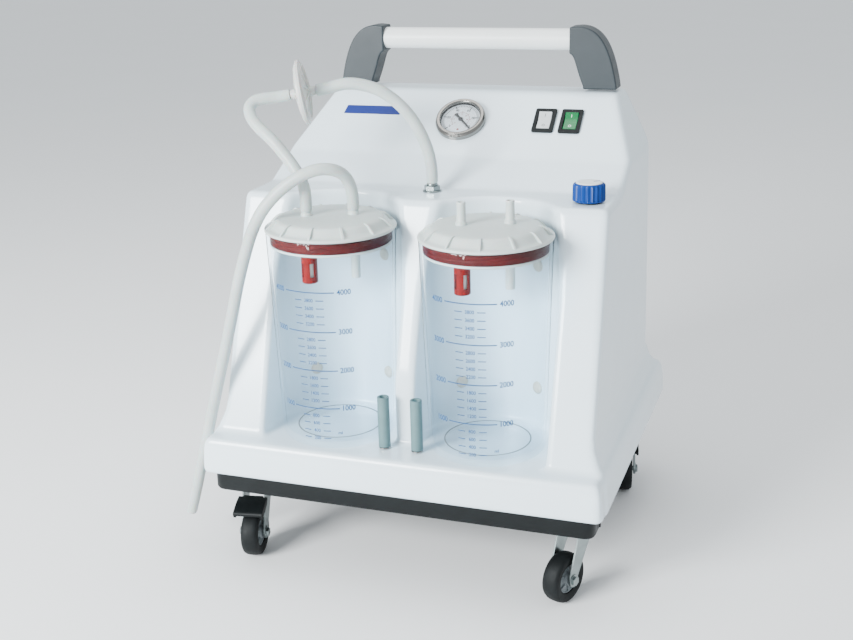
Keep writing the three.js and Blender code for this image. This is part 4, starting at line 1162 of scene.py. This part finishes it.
def pedal_shape():
    """A brake pedal: a hooded plate over the wheel, its two cheeks and a rolled lip."""
    cap = outline_of([(-22, CROWN - 12, 1), (-36, CROWN - 14.8, 6), (-54, CROWN - 22.8, 4),
                      (-53.5, CROWN - 28, 2), (-50, CROWN - 27, 2), (-38, CROWN - 19.8, 5),
                      (-22, CROWN - 16.5, 1)])
    cheek = outline_of([(-24, CROWN - 12.5, 2), (-53, CROWN - 23, 4), (-52, CROWN - 31, 3),
                        (-44, CROWN - 31, 5), (-24, CROWN - 20, 3)])
    lever = outline_of([(-18, CROWN - 12.2, 1), (-30, CROWN - 14, 2), (-34, CROWN - 18.8, 2),
                        (-18, CROWN - 19, 1)])
    spans = ((cap, -20.4, 20.4), (cheek, 17.4, 20.4), (cheek, -20.4, -17.4), (lever, -13.6, 13.6))
    return joined(*(placed(extruded(flat, a, b), SIDEWAYS) for flat, a, b in spans))


for corner, (x, y, degrees, braked) in CASTERS.items():
    turn = math.radians(degrees)
    here = Matrix.Translation((x, y, 0)) @ Matrix.Rotation(turn, 4, "Z")
    axle = here @ Matrix.Translation((0, AXLE_Y, AXLE_Z)) @ ALONG_X
    wheel_body = "wheel_" + corner + "_body"
    piece("swivel_plate_" + corner, plate_shape(turn), "cabinet", ZINC, at=here, bevel=0.4,
          segments=2, stands_for=("caster_plate_" + corner,))
    piece("swivel_fork_" + corner, fork_shape(), "fork_" + corner + "_body", ZINC, at=here,
          bevel=0.5, segments=2, stands_for=("caster_fork_" + corner,))
    piece("wheel_hub_" + corner, hub_shape(), wheel_body, HUB, at=axle, bevel=0.3, segments=2,
          stands_for=("caster_hub_" + corner,))
    piece("wheel_tyre_" + corner, turned(TYRE_PROFILE, 96, closed=True), wheel_body, TYRE,
          at=axle, angle=60, stands_for=("caster_tyre_" + corner,))
    if braked:
        piece("foot_brake_" + corner, pedal_shape(), "pedal_" + corner + "_body", BLACK,
              at=here, bevel=0.8, stands_for=("brake_pedal_" + corner,))

# ---- carried-over CAD nodes ----

WELD_DISTANCE, EDGE_WIDTH = 0.00002, 0.0005  # metres
CARRIED = {
    "rear_cover": WHITE,
    "mains_inlet": BLACK,
    "pump_motor": GUN_METAL,
    "pump_head": GUN_METAL,
    "cooling_fan": BLACK,
    "exhaust_muffler": BLACK,
    "inner_vacuum_hose": SILICONE,
    "regulator_valve": ZINC,
}
for node, material in CARRIED.items():
    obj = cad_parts[node]
    obj.data.materials.clear()
    obj.data.materials.append(material)
    weld = obj.modifiers.new("weld", "WELD")
    weld.merge_threshold = WELD_DISTANCE
    edge = obj.modifiers.new("rounded_edges", "BEVEL")
    edge.width = EDGE_WIDTH
    edge.segments = 2
    edge.limit_method = "ANGLE"
    edge.angle_limit = math.radians(40)

# ---- floor ----

FLOOR_HALF, FLOOR_DROP = 30, 0.0004  # metres
FLOOR = surface("studio_floor", (0.95, 0.95, 0.95), 0.7, vary=0.01, scale=2, grain=300, bump=0.02)
floor_mesh = bpy.data.meshes.new("floor")
floor_mesh.from_pydata([(-FLOOR_HALF, -FLOOR_HALF, 0), (FLOOR_HALF, -FLOOR_HALF, 0),
                        (FLOOR_HALF, FLOOR_HALF, 0), (-FLOOR_HALF, FLOOR_HALF, 0)], [], [[0, 1, 2, 3]])
floor_mesh.materials.append(FLOOR)
studio_floor = bpy.data.objects.new("floor", floor_mesh)
bpy.context.scene.collection.objects.link(studio_floor)
studio_floor.location.z = -FLOOR_DROP
